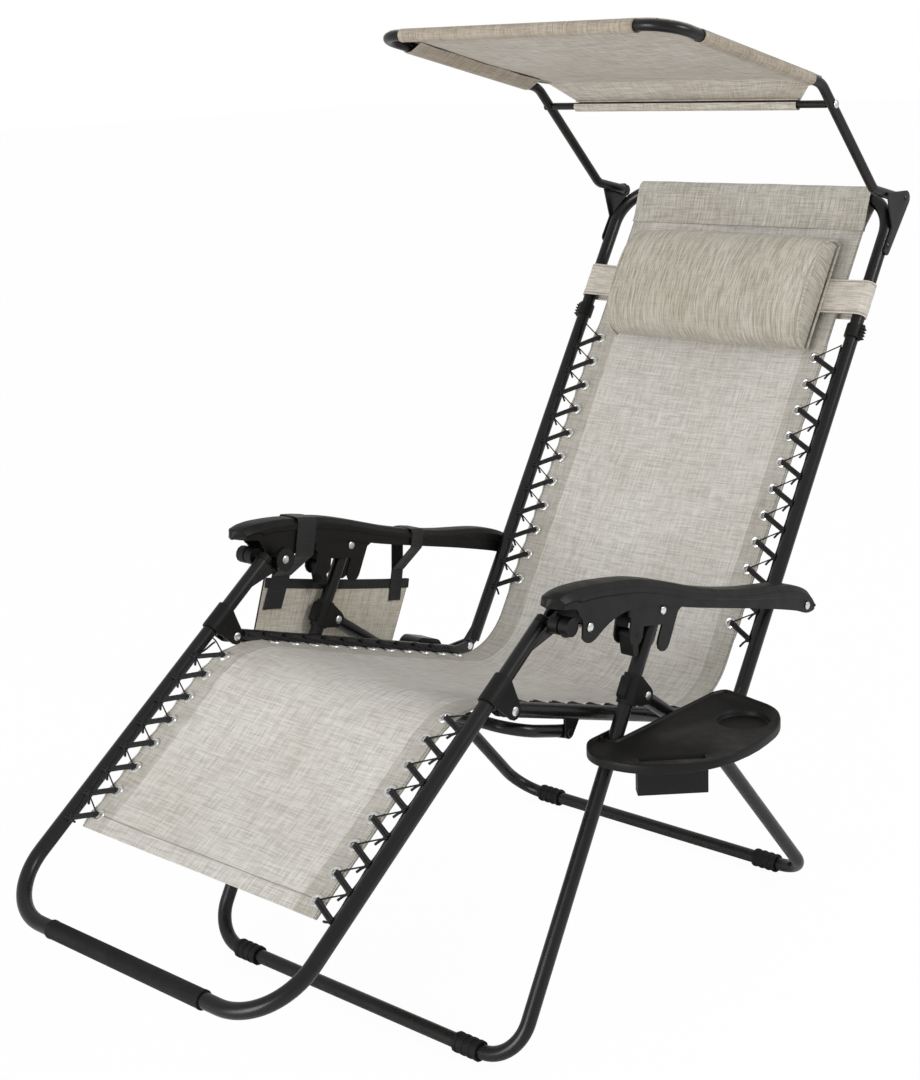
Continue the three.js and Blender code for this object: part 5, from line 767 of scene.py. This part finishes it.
run = run_along(u, w)
uv = np.stack(np.broadcast_arrays(x * 0.001, run[:, None] * 0.001), -1)
sleeve = piece("sling_top_sleeve", [shell(grid, 1.8, uv)], DOUBLE_SLING_CLOTH, "back", crease=60)

# ---------------------------------------------------------------------------------------------
# Lacing: black elastic cord, two strands from every eyelet over the edge of the cloth to the side tube and round
# it, with a short run of cord along the tube between them. Eyelets are plated rings pressed through the hem.
CORD_R, EYELET_SIDES = 2.2, 24
# Braided elastic: dull black with a fine braided grain, which keeps the cords apart from the glossy tubes.
BRAIDED_ELASTIC = hard_finish("braided_elastic", "#0b0b0c", "#1c1c1d", (0.7, 0.88), 2600, 0.25, patch=120)


def cord_at(s, x, lift):
    """A point over the sling's line at length s, lifted along its normal."""
    y, z, ny, nz = sling_line(s)
    return place(x, y + ny * lift, z + nz * lift)


def round_tube(s, side, start, end, steps=10):
    """Points round the side tube at length s, from one angle to the other (0 outwards, 90 up)."""
    a = np.radians(np.linspace(start, end, steps))
    r = TUBE_R + CORD_R + 0.1
    return cord_at(np.asarray(s), side * (SEAT_X + r * np.cos(a)), r * np.sin(a))


lift = SLING_T / 2 + 0.5 + CORD_R
for part_name, (row, pitch, body) in ROWS.items():
    for hand, side in (("left", 1), ("right", -1)):
        parts = []
        for s in row:
            # Two strands side by side slant towards the foot end; a thinner one comes back up to the eyelet.
            for start, end, radius in ((s - 2.3, s - pitch / 2 + 1.0, CORD_R + 0.2),
                                       (s + 2.2, s - pitch / 2 + 5.8, CORD_R + 0.2),
                                       (s + 1.0, s + pitch / 2 + 2.0, 1.1)):
                tube_run = np.linspace(end, end - 2.0, 10)
                top = round_tube(tube_run, side, 164, 128)
                first = cord_at(np.array([s, start]), side * np.array([EYELET_X, EYELET_X + 3.4]),
                                np.array([-1.5, lift]))
                t = np.linspace(0.2, 0.85, 4)[:, None]
                span = first[-1] * (1 - t) + top[0] * t
                line = np.vstack([first, span, top])
                parts.append(rod(line, radius, (0.03, 0.4, 0.9), 8, 0.6))
        along = np.linspace(row[0] - pitch / 2, row[-1] + pitch / 2, 160)
        wave = 163 + 5 * np.cos((along - row[0]) / pitch * 2 * math.pi)
        r = TUBE_R + 1.5
        wave = np.radians(wave)
        parts.append(rod(cord_at(along, side * (SEAT_X + r * np.cos(wave)), r * np.sin(wave)), 1.5, (side, 0, 0),
                         8, 0.5))
        for s in row - pitch / 2 + 3:
            knot = cord_at(np.array([s - 5.5, s, s + 5.5]), side * (SEAT_X - 13.6), 5.2)
            parts.append(rod(knot, 3.6, (side, 0, 0), 10, 1.4))
            tag = cord_at(np.array([s - 2, s - 8, s - 15]), side * (SEAT_X - np.array([14, 20, 25])),
                          np.array([4.5, 4.0, 2.8]))
            parts.append(rod(tag, 1.8, (side, 0, 0), 8, 0.5))
        piece(f"elastic_{part_name}_{hand}", parts, BRAIDED_ELASTIC, body,
              [f"lacing_{part_name}_{hand}"], 50)
    rings = []
    r, h = np.array([(4.6, 0.4), (5.3, 1.8), (7.2, 2.5), (9.3, 1.8), (10.2, 0.3), (10.2, -0.3), (9.3, -1.6),
                     (7.2, -2.1), (5.3, -1.6), (4.6, -0.4)]).T
    turn = np.arange(EYELET_SIDES) * 2 * math.pi / EYELET_SIDES
    for side in (1, -1):
        for s in row:
            y, z, ny, nz = sling_line(np.array([s]))
            rise = h[:, None] + 0.7 * np.sign(h)[:, None]
            run = r[:, None] * np.sin(turn)
            grid = place(side * (EYELET_X + r[:, None] * np.cos(turn)), y + nz * run + ny * rise,
                         z - ny * run + nz * rise)
            # The profile closes on itself: its first ring follows its last, and doubles are merged.
            closed_grid = np.concatenate([grid, grid[:1]])
            rings.append((closed_grid.reshape(-1, 3), squares(len(closed_grid), EYELET_SIDES, True),
                          np.zeros((closed_grid[..., 0].size, 2))))
    piece(f"eyelets_{part_name}", rings, PLATED_STEEL, body)

# ---------------------------------------------------------------------------------------------
# Head pillow: a D-shaped bolster of the canopy's cloth, stuffed and closed at its ends by corded seams. A band of
# sling cloth runs under it and round both back tubes.
PILLOW_U, PILLOW_HALF, PILLOW_X = 712, 202, 14
pillow_low = BACK_AXIS_W + TUBE_R + 0.5 - 5 + 2 + 0.3
# Pillow polyester: darker and warmer than the sling, most of its slubs running across the bolster's length.
PILLOW_CLOTH = woven("pillow_polyester", "#a09a8d", "#b8b3a7", "#c9c5ba", "#e9e6dd", warp=0.2, thread=1.6)


def d_ring(t, shrink=0.0, steps=48):
    """The bolster's outline at t from -1 to 1 along it: a flat base under half an oval, its width a power 0.8 of
    the cosine and its height a power 0.72 of the sine; it draws in a little towards the ends."""
    draw = 4 * np.abs(t) ** 4
    length, high = 105 - draw - shrink, 74 - 2 * draw - 1.6 * shrink
    base = np.linspace(-1, 1, steps // 3)[:-1]
    a = np.linspace(0, math.pi, steps - len(base) + 1)[:-1]
    u = np.concatenate([base * length, np.sign(np.cos(a)) * np.abs(np.cos(a)) ** 0.86 * length])
    w = np.concatenate([0 * base, np.sin(a) ** 0.72 * high])
    return PILLOW_U + u, pillow_low + shrink * 0.7 + w


stations = np.sin(np.linspace(-1, 1, 25) * math.pi / 2)
rings = []
for t in stations:
    u, w = d_ring(t, 3.0)
    rings.append(back_side(u - 3, w, t * (PILLOW_HALF - 7) + PILLOW_X))
pillow = mesh_object("head_pillow", [tube(np.array(rings))], PILLOW_CLOTH, 180)


def stuffed(obj, voxel, pressure, cap):
    """Voxel remesh, then 20 frames of cloth under inner pressure without gravity; every point moves at most the
    cap, and the result becomes the mesh."""
    scene = bpy.context.scene
    remesh = obj.modifiers.new("remesh", "REMESH")
    remesh.mode, remesh.voxel_size = "VOXEL", voxel
    graph = bpy.context.evaluated_depsgraph_get()
    mesh = bpy.data.meshes.new_from_object(obj.evaluated_get(graph))
    obj.modifiers.clear()
    obj.data = mesh
    count = len(mesh.vertices)
    start = np.empty(count * 3)
    mesh.vertices.foreach_get("co", start)
    start = start.reshape(-1, 3)
    cloth = obj.modifiers.new("cloth", "CLOTH")
    settings = cloth.settings
    settings.quality, settings.mass = 6, 0.3
    settings.tension_stiffness = settings.compression_stiffness = settings.shear_stiffness = 12
    settings.bending_stiffness = 0.4
    settings.use_pressure, settings.uniform_pressure_force = True, pressure
    settings.effector_weights.gravity = 0
    for f in range(1, 21):
        scene.frame_set(f)
    graph = bpy.context.evaluated_depsgraph_get()
    blown = obj.evaluated_get(graph).to_mesh()
    end = np.empty(count * 3)
    blown.vertices.foreach_get("co", end)
    obj.evaluated_get(graph).to_mesh_clear()
    obj.modifiers.clear()
    scene.frame_set(1)
    move = end.reshape(-1, 3) - start
    size = np.linalg.norm(move, axis=1, keepdims=True)
    return start + move * np.minimum(1, cap / np.maximum(size, 1e-9))


points = stuffed(pillow, 0.0045, 4.0, 0.0035)
# The stuffing presses against the back, lies in soft hollows, and puckers where the end seams draw in.
local = (points - back_side(0.0, 0.0, 0.0)) * 1000
along_u, along_w, along_x = local[:, 1:] @ back_side.along, local[:, 1:] @ back_side.square, local[:, 0]
high = np.clip((along_w - pillow_low) / 60, 0, 1)
end_near = np.clip((np.abs(along_x) - 150) / 50, 0, 1)
hollow = (1.5 * np.sin(along_x / 47 + 0.6) * np.cos((along_u - PILLOW_U) / 38 + 0.4)
          + 0.9 * np.sin(along_x / 19 + along_u / 27) * (0.3 + end_near)
          + 0.35 * end_near * np.cos(np.arctan2(along_w - 20, along_u - PILLOW_U) * 17))
along_w = np.maximum(along_w + hollow * high, pillow_low)
points = back_side(along_u, along_w, along_x)
pillow.data.vertices.foreach_set("co", points.astype(np.float32).ravel())
turn = np.arctan2((along_w - 15) * 1.2, along_u - PILLOW_U) * 90
corners = np.zeros(len(pillow.data.loops), int)
pillow.data.loops.foreach_get("vertex_index", corners)
sides = np.zeros(len(pillow.data.polygons), int)
normals = np.zeros(len(sides) * 3)
pillow.data.polygons.foreach_get("normal", normals)
pillow.data.polygons.foreach_get("loop_total", sides)
end_face = np.repeat(np.abs(normals.reshape(-1, 3)[:, 0]) > 0.8, sides)[:, None]
# The weave runs round the pillow, and straight across the two end pieces.
uv_corner = np.where(end_face, np.stack([along_w, along_u], -1)[corners], np.stack([turn, along_x], -1)[corners])
layer = pillow.data.uv_layers.get("cloth") or pillow.data.uv_layers.new(name="cloth")
layer.data.foreach_set("uv", (uv_corner * 0.001).astype(np.float32).ravel())
pillow.data.shade_smooth()
pillow.data.materials.clear()
pillow.data.materials.append(PILLOW_CLOTH)
pillow.modifiers.new("smooth", "SUBSURF").levels = 1
pillow.modifiers["smooth"].render_levels = 1
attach(pillow, "back")
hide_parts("pillow")
piping = []
for side in (1, -1):
    u, w = d_ring(1.0, 3.6)
    ring_path = back_side(np.append(u, u[:1]) - 3, np.append(w, w[:1]), side * (PILLOW_HALF - 7.5) + PILLOW_X)
    piping.append(rod(ring_path, 2.4, (side, 0.02, 0), 10, 0.2))
piece("pillow_piping", piping, PILLOW_CLOTH, "back")

BAND_U, BAND_W = 715, 60
r = TUBE_R + 0.5 + 1.0
a = np.radians(np.linspace(90, -90, 19))
xb = np.concatenate([[0, 110, 205, 220, 250], SEAT_X + r * np.cos(a), [210, 140, 70]])
wb = np.concatenate([[r - 5, r - 5, r - 5, r - 4.2, r - 1.8], r * np.sin(a), [-r - 4.5, -r - 8.5, -r - 8.5]])
xb = np.concatenate([xb, -xb[1:][::-1]])
wb = np.concatenate([wb, wb[1:][::-1]])
vb = np.linspace(-1, 1, 9)
grid = back_side(BAND_U + vb[None] * BAND_W / 2, BACK_AXIS_W + wb[:, None] + 0.6 * np.cos(vb[None] * 7),
                 xb[:, None] + 0 * vb)
run = run_along(xb, wb)
uv = np.stack(np.broadcast_arrays(vb[None] * 0.03, run[:, None] * 0.001), -1)
# The band's cloth: light and even, most of its slubs running round the loop, stitched along both edges.
BAND_CLOTH = woven("band_polyester", "#b3ada3", "#cbc5bc", "#dad5cd", "#f0eae2", warp=0.75,
                   stitches=(("u", 26.5),))
band = piece("pillow_band", [shell(grid, 2.0, uv, closed=True)], BAND_CLOTH, "back",
             ["pillow_strap"], 60)

# ---------------------------------------------------------------------------------------------
# Canopy: a thin bent tube hinged at the brackets, with a cross bar pinned between its arms. The cloth lies over
# the arms, is hemmed round them and the front bar, and folds down at the crown to a sleeve on the cross bar.
CANOPY_R, CANOPY_X, FRONT_BEND = 8, 280.8, 50
canopy_side = Side(back_side.yz(BACK_TOP_U + 2, -19.6), 0)
ELBOW, CROWN, FRONT = np.array([-89.0, 21]), np.array([-257.0, 197]), np.array([-657.0, 292])
reach, rise = unit(ELBOW), unit(CROWN - ELBOW)
bar_at = CROWN - rise * 46
parts = [u_frame(canopy_side, [(*(reach * 16), CANOPY_X, 0), (*ELBOW, CANOPY_X, 30), (*CROWN, CANOPY_X, 45),
                               (*FRONT, CANOPY_X, FRONT_BEND)], CANOPY_R)]
for side in (1, -1):
    eye = side * (CANOPY_X + 3), side * (CANOPY_X + 8)
    parts.append(lug([(0, 0, 10), (*(reach * 26), 7)], canopy_side, *eye))
piece("canopy_tube", parts, POWDER_COAT, "canopy", ["canopy_frame"])
bar_yz = canopy_side.yz(*bar_at)
piece("canopy_cross_tube", [turned([(5.4, -272), (6, -271.4), (6, 271.4), (5.4, 272)], bar_yz)],
      POWDER_COAT, "canopy", ["canopy_cross_bar"])
HEAD = ((3, 272), (3, 289.2), (6.5, 289.2), (6.4, 290.2), (5, 291.2), (2, 291.8))
piece("canopy_bar_rivets", [turned([(r, side * x) for r, x in HEAD], bar_yz, 24) for side in (1, -1)],
      PLATED_STEEL, "canopy")

CLOTH_T, LIFT = 1.6, 9.4
span = FRONT - CROWN
length = float(np.linalg.norm(span))
ahead = span / length
over = np.array([ahead[1], -ahead[0]])
# Canopy polyester: thin and taut, greyer than the sling, its hems lighter because they are double.
CANOPY_CLOTH = woven("canopy_polyester", "#a19a8f", "#bdb6ac", "#cfc9c0", "#ebe5dc", warp=0.42, thread=1.6,
                     hem=("#e6e1d9", 252), stitches=(("u", 253.5),))


def canopy_point(u, w, x):
    """A point over the canopy's arms: u from the crown to the front bar, w above the arms."""
    yz = CROWN + u[..., None] * ahead + w[..., None] * over
    return canopy_side(yz[..., 0], yz[..., 1], x)


def panel_width(u):
    corner = np.clip((u - length + FRONT_BEND) / FRONT_BEND, 0, 1)
    return CANOPY_X - (1 - np.sqrt(1 - corner ** 2 * 0.9999)) * FRONT_BEND


u = np.concatenate([np.linspace(0, length - FRONT_BEND, 49)[:-1],
                    length - FRONT_BEND + FRONT_BEND * np.sin(np.linspace(0, 1, 12) * math.pi / 2)])
j = np.linspace(-1, 1, 61)
uu, jj = np.meshgrid(u, j, indexing="ij")
xx = jj * panel_width(uu)
ends = np.sin(math.pi * uu / length)
sides = 1 - (xx / CANOPY_X) ** 2
hang = 12 * ends * sides
folds = (1.6 * np.sin((uu * 0.8 + xx) / 46) * ends + 1.3 * np.sin((uu - xx * 0.7) / 33 + 1)
         * np.clip((np.abs(xx) - 120) / 140, 0, 1)) * sides ** 0.5
top = canopy_point(uu, LIFT - hang + folds * 0.8, xx)
down = np.linspace(0.0, 1.0, 14)[1:]
back_w = np.interp(down, [0, 1], [262, 221])
fold_at = CROWN + over * LIFT
out = np.array([rise[1], -rise[0]])
tail = CROWN + out * LIFT
flap_yz = np.where(down[:, None] < 0.22,
                   fold_at + (tail - rise * 10 - fold_at) * (down[:, None] / 0.22),
                   tail - rise * (10 + 36 * (down[:, None] - 0.22) / 0.78))
bow = -3.0 * np.sin(down * math.pi)[:, None] * (1 - j[None] ** 2)
flap = canopy_side(flap_yz[:, :1] + out[0] * bow, flap_yz[:, 1:] + out[1] * bow, j[None] * back_w[:, None])
first = canopy_side(np.full((1, len(j)), fold_at[0]), np.full((1, len(j)), fold_at[1]), (j * 266)[None])
flap = np.concatenate([first, flap])[::-1]
uv_top = np.stack([xx, uu], -1) * 0.001
uv_flap = np.stack(np.broadcast_arrays(j[None] * 0.24, np.linspace(-0.075, 0, 14)[:, None]), -1)


def hem_strip(centre_r, reach_in):
    """The hem's profile square to its bar: round the bar from its top over the outside to its underside, then
    inwards to the stitch line under the panel. Returns offsets (outward, upward)."""
    a = np.radians(np.linspace(92, -104, 22))
    o = np.concatenate([[-centre_r * 0.4], centre_r * np.cos(a), -np.linspace(0.25, 1, 7) * reach_in])
    h = np.concatenate([[centre_r + 0.4], centre_r * np.sin(a),
                        -centre_r + (centre_r + 7.2) * np.linspace(0.12, 1, 7) ** 1.2])
    return o, h


o, h = hem_strip(CANOPY_R + 0.5 + 0.9, 29)
run_o, inner = run_along(o, h), np.clip((-o - 4) / 20, 0, 1)
hems = []
s = np.linspace(32, length - FRONT_BEND - 26, 60)[:, None]
for side in (1, -1):
    sag = 12 * np.sin(math.pi * s / length) * (1 - ((CANOPY_X + np.minimum(o, 0)) / CANOPY_X) ** 2)
    g = canopy_point(s + 0 * o, h + 0.7 * np.sin(s / 17) * inner - sag, side * (CANOPY_X + o + 0 * s))
    uvh = np.stack(np.broadcast_arrays(0.256 + run_o * 0.001, s * 0.001), -1)
    hems.append(shell(g, CLOTH_T, uvh))
xs = np.linspace(-222.8, 222.8, 81)[:, None]
g = canopy_point(length + o + 0 * xs, h + 0.8 * np.sin(xs / 19) * inner, xs + 0 * o)
uvh = np.stack(np.broadcast_arrays(0.256 + run_o * 0.001, xs * 0.001), -1)
hems.append(shell(g, CLOTH_T, uvh))
a = np.radians(np.linspace(70, -250, 30))[:, None]
ring_yz = bar_at + (LIFT - 1.0) * (out * np.cos(a) + rise * np.sin(a))
g = canopy_side(ring_yz[:, :1], ring_yz[:, 1:], (j * 221)[None])
uvh = np.stack(np.broadcast_arrays(j * 0.221, a * 0.009 + 0.3), -1)
hems.append(shell(g, CLOTH_T, uvh))
skin = shell(np.concatenate([flap[:-1], top]), CLOTH_T, np.concatenate([uv_flap[:-1], uv_top]))
canopy_parts = [skin, *hems]


canopy = piece("canopy_fabric", canopy_parts, CANOPY_CLOTH, "canopy", ["canopy_cloth"], 60)

# ---------------------------------------------------------------------------------------------
# Pouch: a flat bag of beige polyester with a black tape binding round its mouth and black piping down its rear
# edge. It hangs outside the right legs on two nylon straps looped over the armrest.
# Pouch polyester: warmer than the sling, with one stitched line along the binding.
POUCH_CLOTH = woven("pouch_polyester", "#b7b0a2", "#d2ccbf", "#e0dbd0", "#f0ebe0", warp=0.6, thread=1.5,
                    stitches=(("v", 14),))
inner_x = -(LEGS_X + 18)
front_top, front_low = np.array([23.0, -42]), np.array([7.0, -153])
rear_low, rear_top = np.array([332.0, -176]), np.array([364.0, -57])
# b runs down the back layer to 1, round the fold to 1.03, and up the front layer.
b = np.concatenate([np.linspace(0, 1, 25)[:-1], 1 + 0.03 * np.linspace(0, 1, 4)[1:-1], np.linspace(1.03, 2.03, 26)])
across, depth = np.meshgrid(np.linspace(0, 1, 49), np.clip(np.where(b <= 1, b, 2.03 - b), 0, 1), indexing="xy")
front = np.broadcast_to(np.clip((b - 1) / 0.03, 0, 1)[:, None], across.shape)
from_side = np.clip(np.minimum(across, 1 - across) / 0.5, 0, 1)
belly = np.sin(math.pi * across)
swell = np.sqrt(belly) * (0.55 + 0.75 * np.sin(math.pi * np.clip(depth * 0.9 + 0.05, 0, 1)) ** 0.8) * (
    1 - np.clip((depth - 0.86) / 0.14, 0, 1) ** 2)
creases = (1.6 * np.sin(across * 17 + depth * 5) * np.sin(depth * math.pi) * from_side
           + 1.2 * np.sin((across - 0.3) * 9 - depth * 11) * depth * from_side)
outx = 1.2 + front * (swell * 9.0 + creases * np.sqrt(belly) + 0.9)
left = front_top + (front_low - front_top) * depth[..., None]
right = rear_top + (rear_low - rear_top) * depth[..., None]
bag = left + (right - left) * across[..., None]
bag[..., 1] -= 4.5 * belly * (1 - depth) * (0.4 + 0.6 * front) + 3.0 * belly * depth
grid = arm_side(bag[..., 0], bag[..., 1], inner_x - outx)
uv = np.stack([across * 0.34, np.where(front > 0.5, depth * 0.118, -depth * 0.118 - 0.05)], -1)
pouch_part = shell(grid, 1.5, uv)
pouch = piece("pouch_bag", [pouch_part], POUCH_CLOTH, "arms", ["pouch"], 60)

# Nylon webbing: near black with fine cross ribs that catch a dull sheen.
NYLON_WEBBING, tree, shader = blank_material("nylon_webbing")
uv_node = add(tree, "ShaderNodeUVMap", uv_map="cloth")
ribs = add(tree, "ShaderNodeTexWave", {"Vector": uv_node, "Scale": 95.0, "Distortion": 0.6, "Detail": 1.0},
           output=1, bands_direction="Y")
fluff = add(tree, "ShaderNodeTexNoise", {"Vector": uv_node, "Scale": 700.0, "Detail": 3.0})
yarn = add(tree, "ShaderNodeMix", {0: between(tree, fluff, 0.3, 0.75), 6: linear("#101011"), 7: linear("#1f1f20")},
           output=2, data_type="RGBA")
tree.links.new(yarn, shader.inputs["Base Color"])
shader.inputs["Roughness"].default_value = 0.85
shader.inputs["Sheen Weight"].default_value = 0.2
tree.links.new(add(tree, "ShaderNodeBump", {"Height": ribs, "Distance": 0.0004, "Strength": 0.7}),
               shader.inputs["Normal"])

trims = []
drop = np.linspace(-15, 1.2, 7)
for row, off in ((0, -1.2), (-1, 1.2)):
    g = arm_side(bag[row, :, :1] + 0 * drop, bag[row, :, 1:] + drop, (inner_x - outx[row] - off)[:, None] + 0 * drop)
    uvt = np.stack(np.broadcast_arrays(drop * 0.001, across[0][:, None] * 0.34), -1)
    trims.append(shell(g, 1.0, uvt))
binding = piece("pouch_binding", trims, NYLON_WEBBING, "arms", crease=60)
t = np.linspace(0, 1, 30)[:, None]
cords = []
for top, low, cord_radius in ((rear_top, rear_low, 2.2), (front_top, front_low, 1.6)):
    edge = top + (low - top) * t
    cords.append(rod(arm_side(edge[:, 0], edge[:, 1], inner_x - 2.6), cord_radius, (1, 0, 0), 12, 0.5))
piece("pouch_piping", cords, NYLON_WEBBING, "arms")

for name, v0, width, lean, drop in (("front", 65, 40, 0.25, 92), ("rear", 330, 28, 0.0, 92)):
    spots = np.array([v0 - width / 2, v0, v0 + width / 2]) / arm_span
    high = (smooth_through(*ARM_TOP, spots) * ARM_UNIT).max() + 0.5
    edge_w = (smooth_through(*ARM_LOW, spots) * ARM_UNIT).min() - 1
    outer_x, in_x, face = LEGS_X + 22.5, LEGS_X - 22.5, LEGS_X + 18 - 0.3 - 0.8
    loop_x = np.array([face - 1.6, in_x, in_x - 0.3, in_x + 3, in_x + 10, outer_x - 10, outer_x - 3, outer_x + 0.3,
                       outer_x, face, face + 0.2, face + 0.1])
    loop_w = np.array([-37, edge_w, high - 5, high + 0.6, high + 1.2, high + 1.2, high + 0.6, high - 5, edge_w, -37,
                       -60, -drop])
    fine = np.linspace(0, len(loop_x) - 1, 90)
    lx, lw = (np.interp(fine, np.arange(len(loop_x)), k) for k in (loop_x, loop_w))
    v = np.linspace(-1, 1, 9)
    round_edge = np.cos(v * 3) - 1
    g = arm_side(v0 + v[None] * width / 2 + lean * np.minimum(0, lw - edge_w)[:, None],
                 lw[:, None] + 0.25 * round_edge, -(lx[:, None] + 0.3 * round_edge))
    run = run_along(lx, lw)
    uvs = np.stack(np.broadcast_arrays(v[None] * width / 2000, run[:, None] * 0.001), -1)
    strap = piece(f"pouch_strap_{name}_webbing", [shell(g, 1.5, uvs)], NYLON_WEBBING, "arms",
                  [f"pouch_strap_{name}"], 60)

# ---------------------------------------------------------------------------------------------
# Studio: white floor and background, one soft key from the left front, one from behind, and the camera solved
# from the photograph. The camera sees floor and background as plain white.
FOCAL_PIXELS, PHOTO_HEIGHT, SENSOR = 1834.86, 1080, 36
WORLD_LIGHT, FLOOR_SHARE, FLOOR_GLOW = 0.6, 0.96, 1.006
camera = bpy.data.objects.new("camera", bpy.data.cameras.new("camera"))
scene = bpy.context.scene
scene.collection.objects.link(camera)
scene.camera = camera
at = Vector((1.716966, -2.051259, 1.3874))
yaw, pitch, roll = (math.radians(k) for k in (42.10, 15.21, -2.27))
gaze = Vector((-math.sin(yaw) * math.cos(pitch), math.cos(yaw) * math.cos(pitch), -math.sin(pitch)))
level = Vector((math.cos(yaw), math.sin(yaw), 0))
upward = level.cross(gaze)
across = level * math.cos(roll) + upward * math.sin(roll)
upward = upward * math.cos(roll) - level * math.sin(roll)
camera.matrix_world = Matrix(((across.x, upward.x, -gaze.x, at.x), (across.y, upward.y, -gaze.y, at.y),
                              (across.z, upward.z, -gaze.z, at.z), (0, 0, 0, 1)))
camera.data.sensor_width, camera.data.lens = SENSOR, SENSOR * FOCAL_PIXELS / PHOTO_HEIGHT
camera.data.clip_end = 100
scene.view_settings.view_transform = "Standard"


def seen_white(tree, closure_in, white_share, kind, glow):
    """Mixes a surface or background towards plain white where the camera sees it directly."""
    path = tree.nodes.new("ShaderNodeLightPath")
    factor = add(tree, "ShaderNodeMath", {0: path.outputs["Is Camera Ray"], 1: white_share}, operation="MULTIPLY")
    white = add(tree, kind, {0: (1, 1, 1, 1), 1: glow})
    return add(tree, "ShaderNodeMixShader", {0: factor, 1: closure_in, 2: white})


world = bpy.data.worlds.new("studio")
scene.world = world
world.use_nodes = True
tree = world.node_tree
sky = tree.nodes["Background"]
sky.inputs[0].default_value, sky.inputs[1].default_value = (1, 1, 1, 1), WORLD_LIGHT
tree.links.new(seen_white(tree, sky.outputs[0], 1.0, "ShaderNodeBackground", 1.0),
               tree.nodes["World Output"].inputs["Surface"])
# Matt white paint: no tone of its own, so only the contact shadow shows on it.
FLOOR_PAINT, tree, shader = blank_material("floor_white")
shader.inputs["Base Color"].default_value = (1, 1, 1, 1)
shader.inputs["Roughness"].default_value = 1.0
tree.links.new(seen_white(tree, shader.outputs[0], FLOOR_SHARE, "ShaderNodeEmission", FLOOR_GLOW),
               tree.nodes["Material Output"].inputs["Surface"])
corners = np.array([(-30, -30, -0.0005), (30, -30, -0.0005), (30, 30, -0.0005), (-30, 30, -0.0005)], float)
floor = mesh_object("floor", [(corners, [(0, 1, 2, 3)], np.zeros((4, 2)))], FLOOR_PAINT)
for name, spot, size, power in (("key", (-0.6, -7.0, 1.5), 3.4, 275), ("back", (2.6, 0.9, 2.6), 0.9, 30)):
    lamp = bpy.data.objects.new(name, bpy.data.lights.new(name, "AREA"))
    lamp.data.size, lamp.data.energy = size, power
    lamp.location = spot
    lamp.rotation_euler = (Vector((0, 0, 0.7)) - Vector(spot)).to_track_quat("-Z", "Y").to_euler()
    scene.collection.objects.link(lamp)
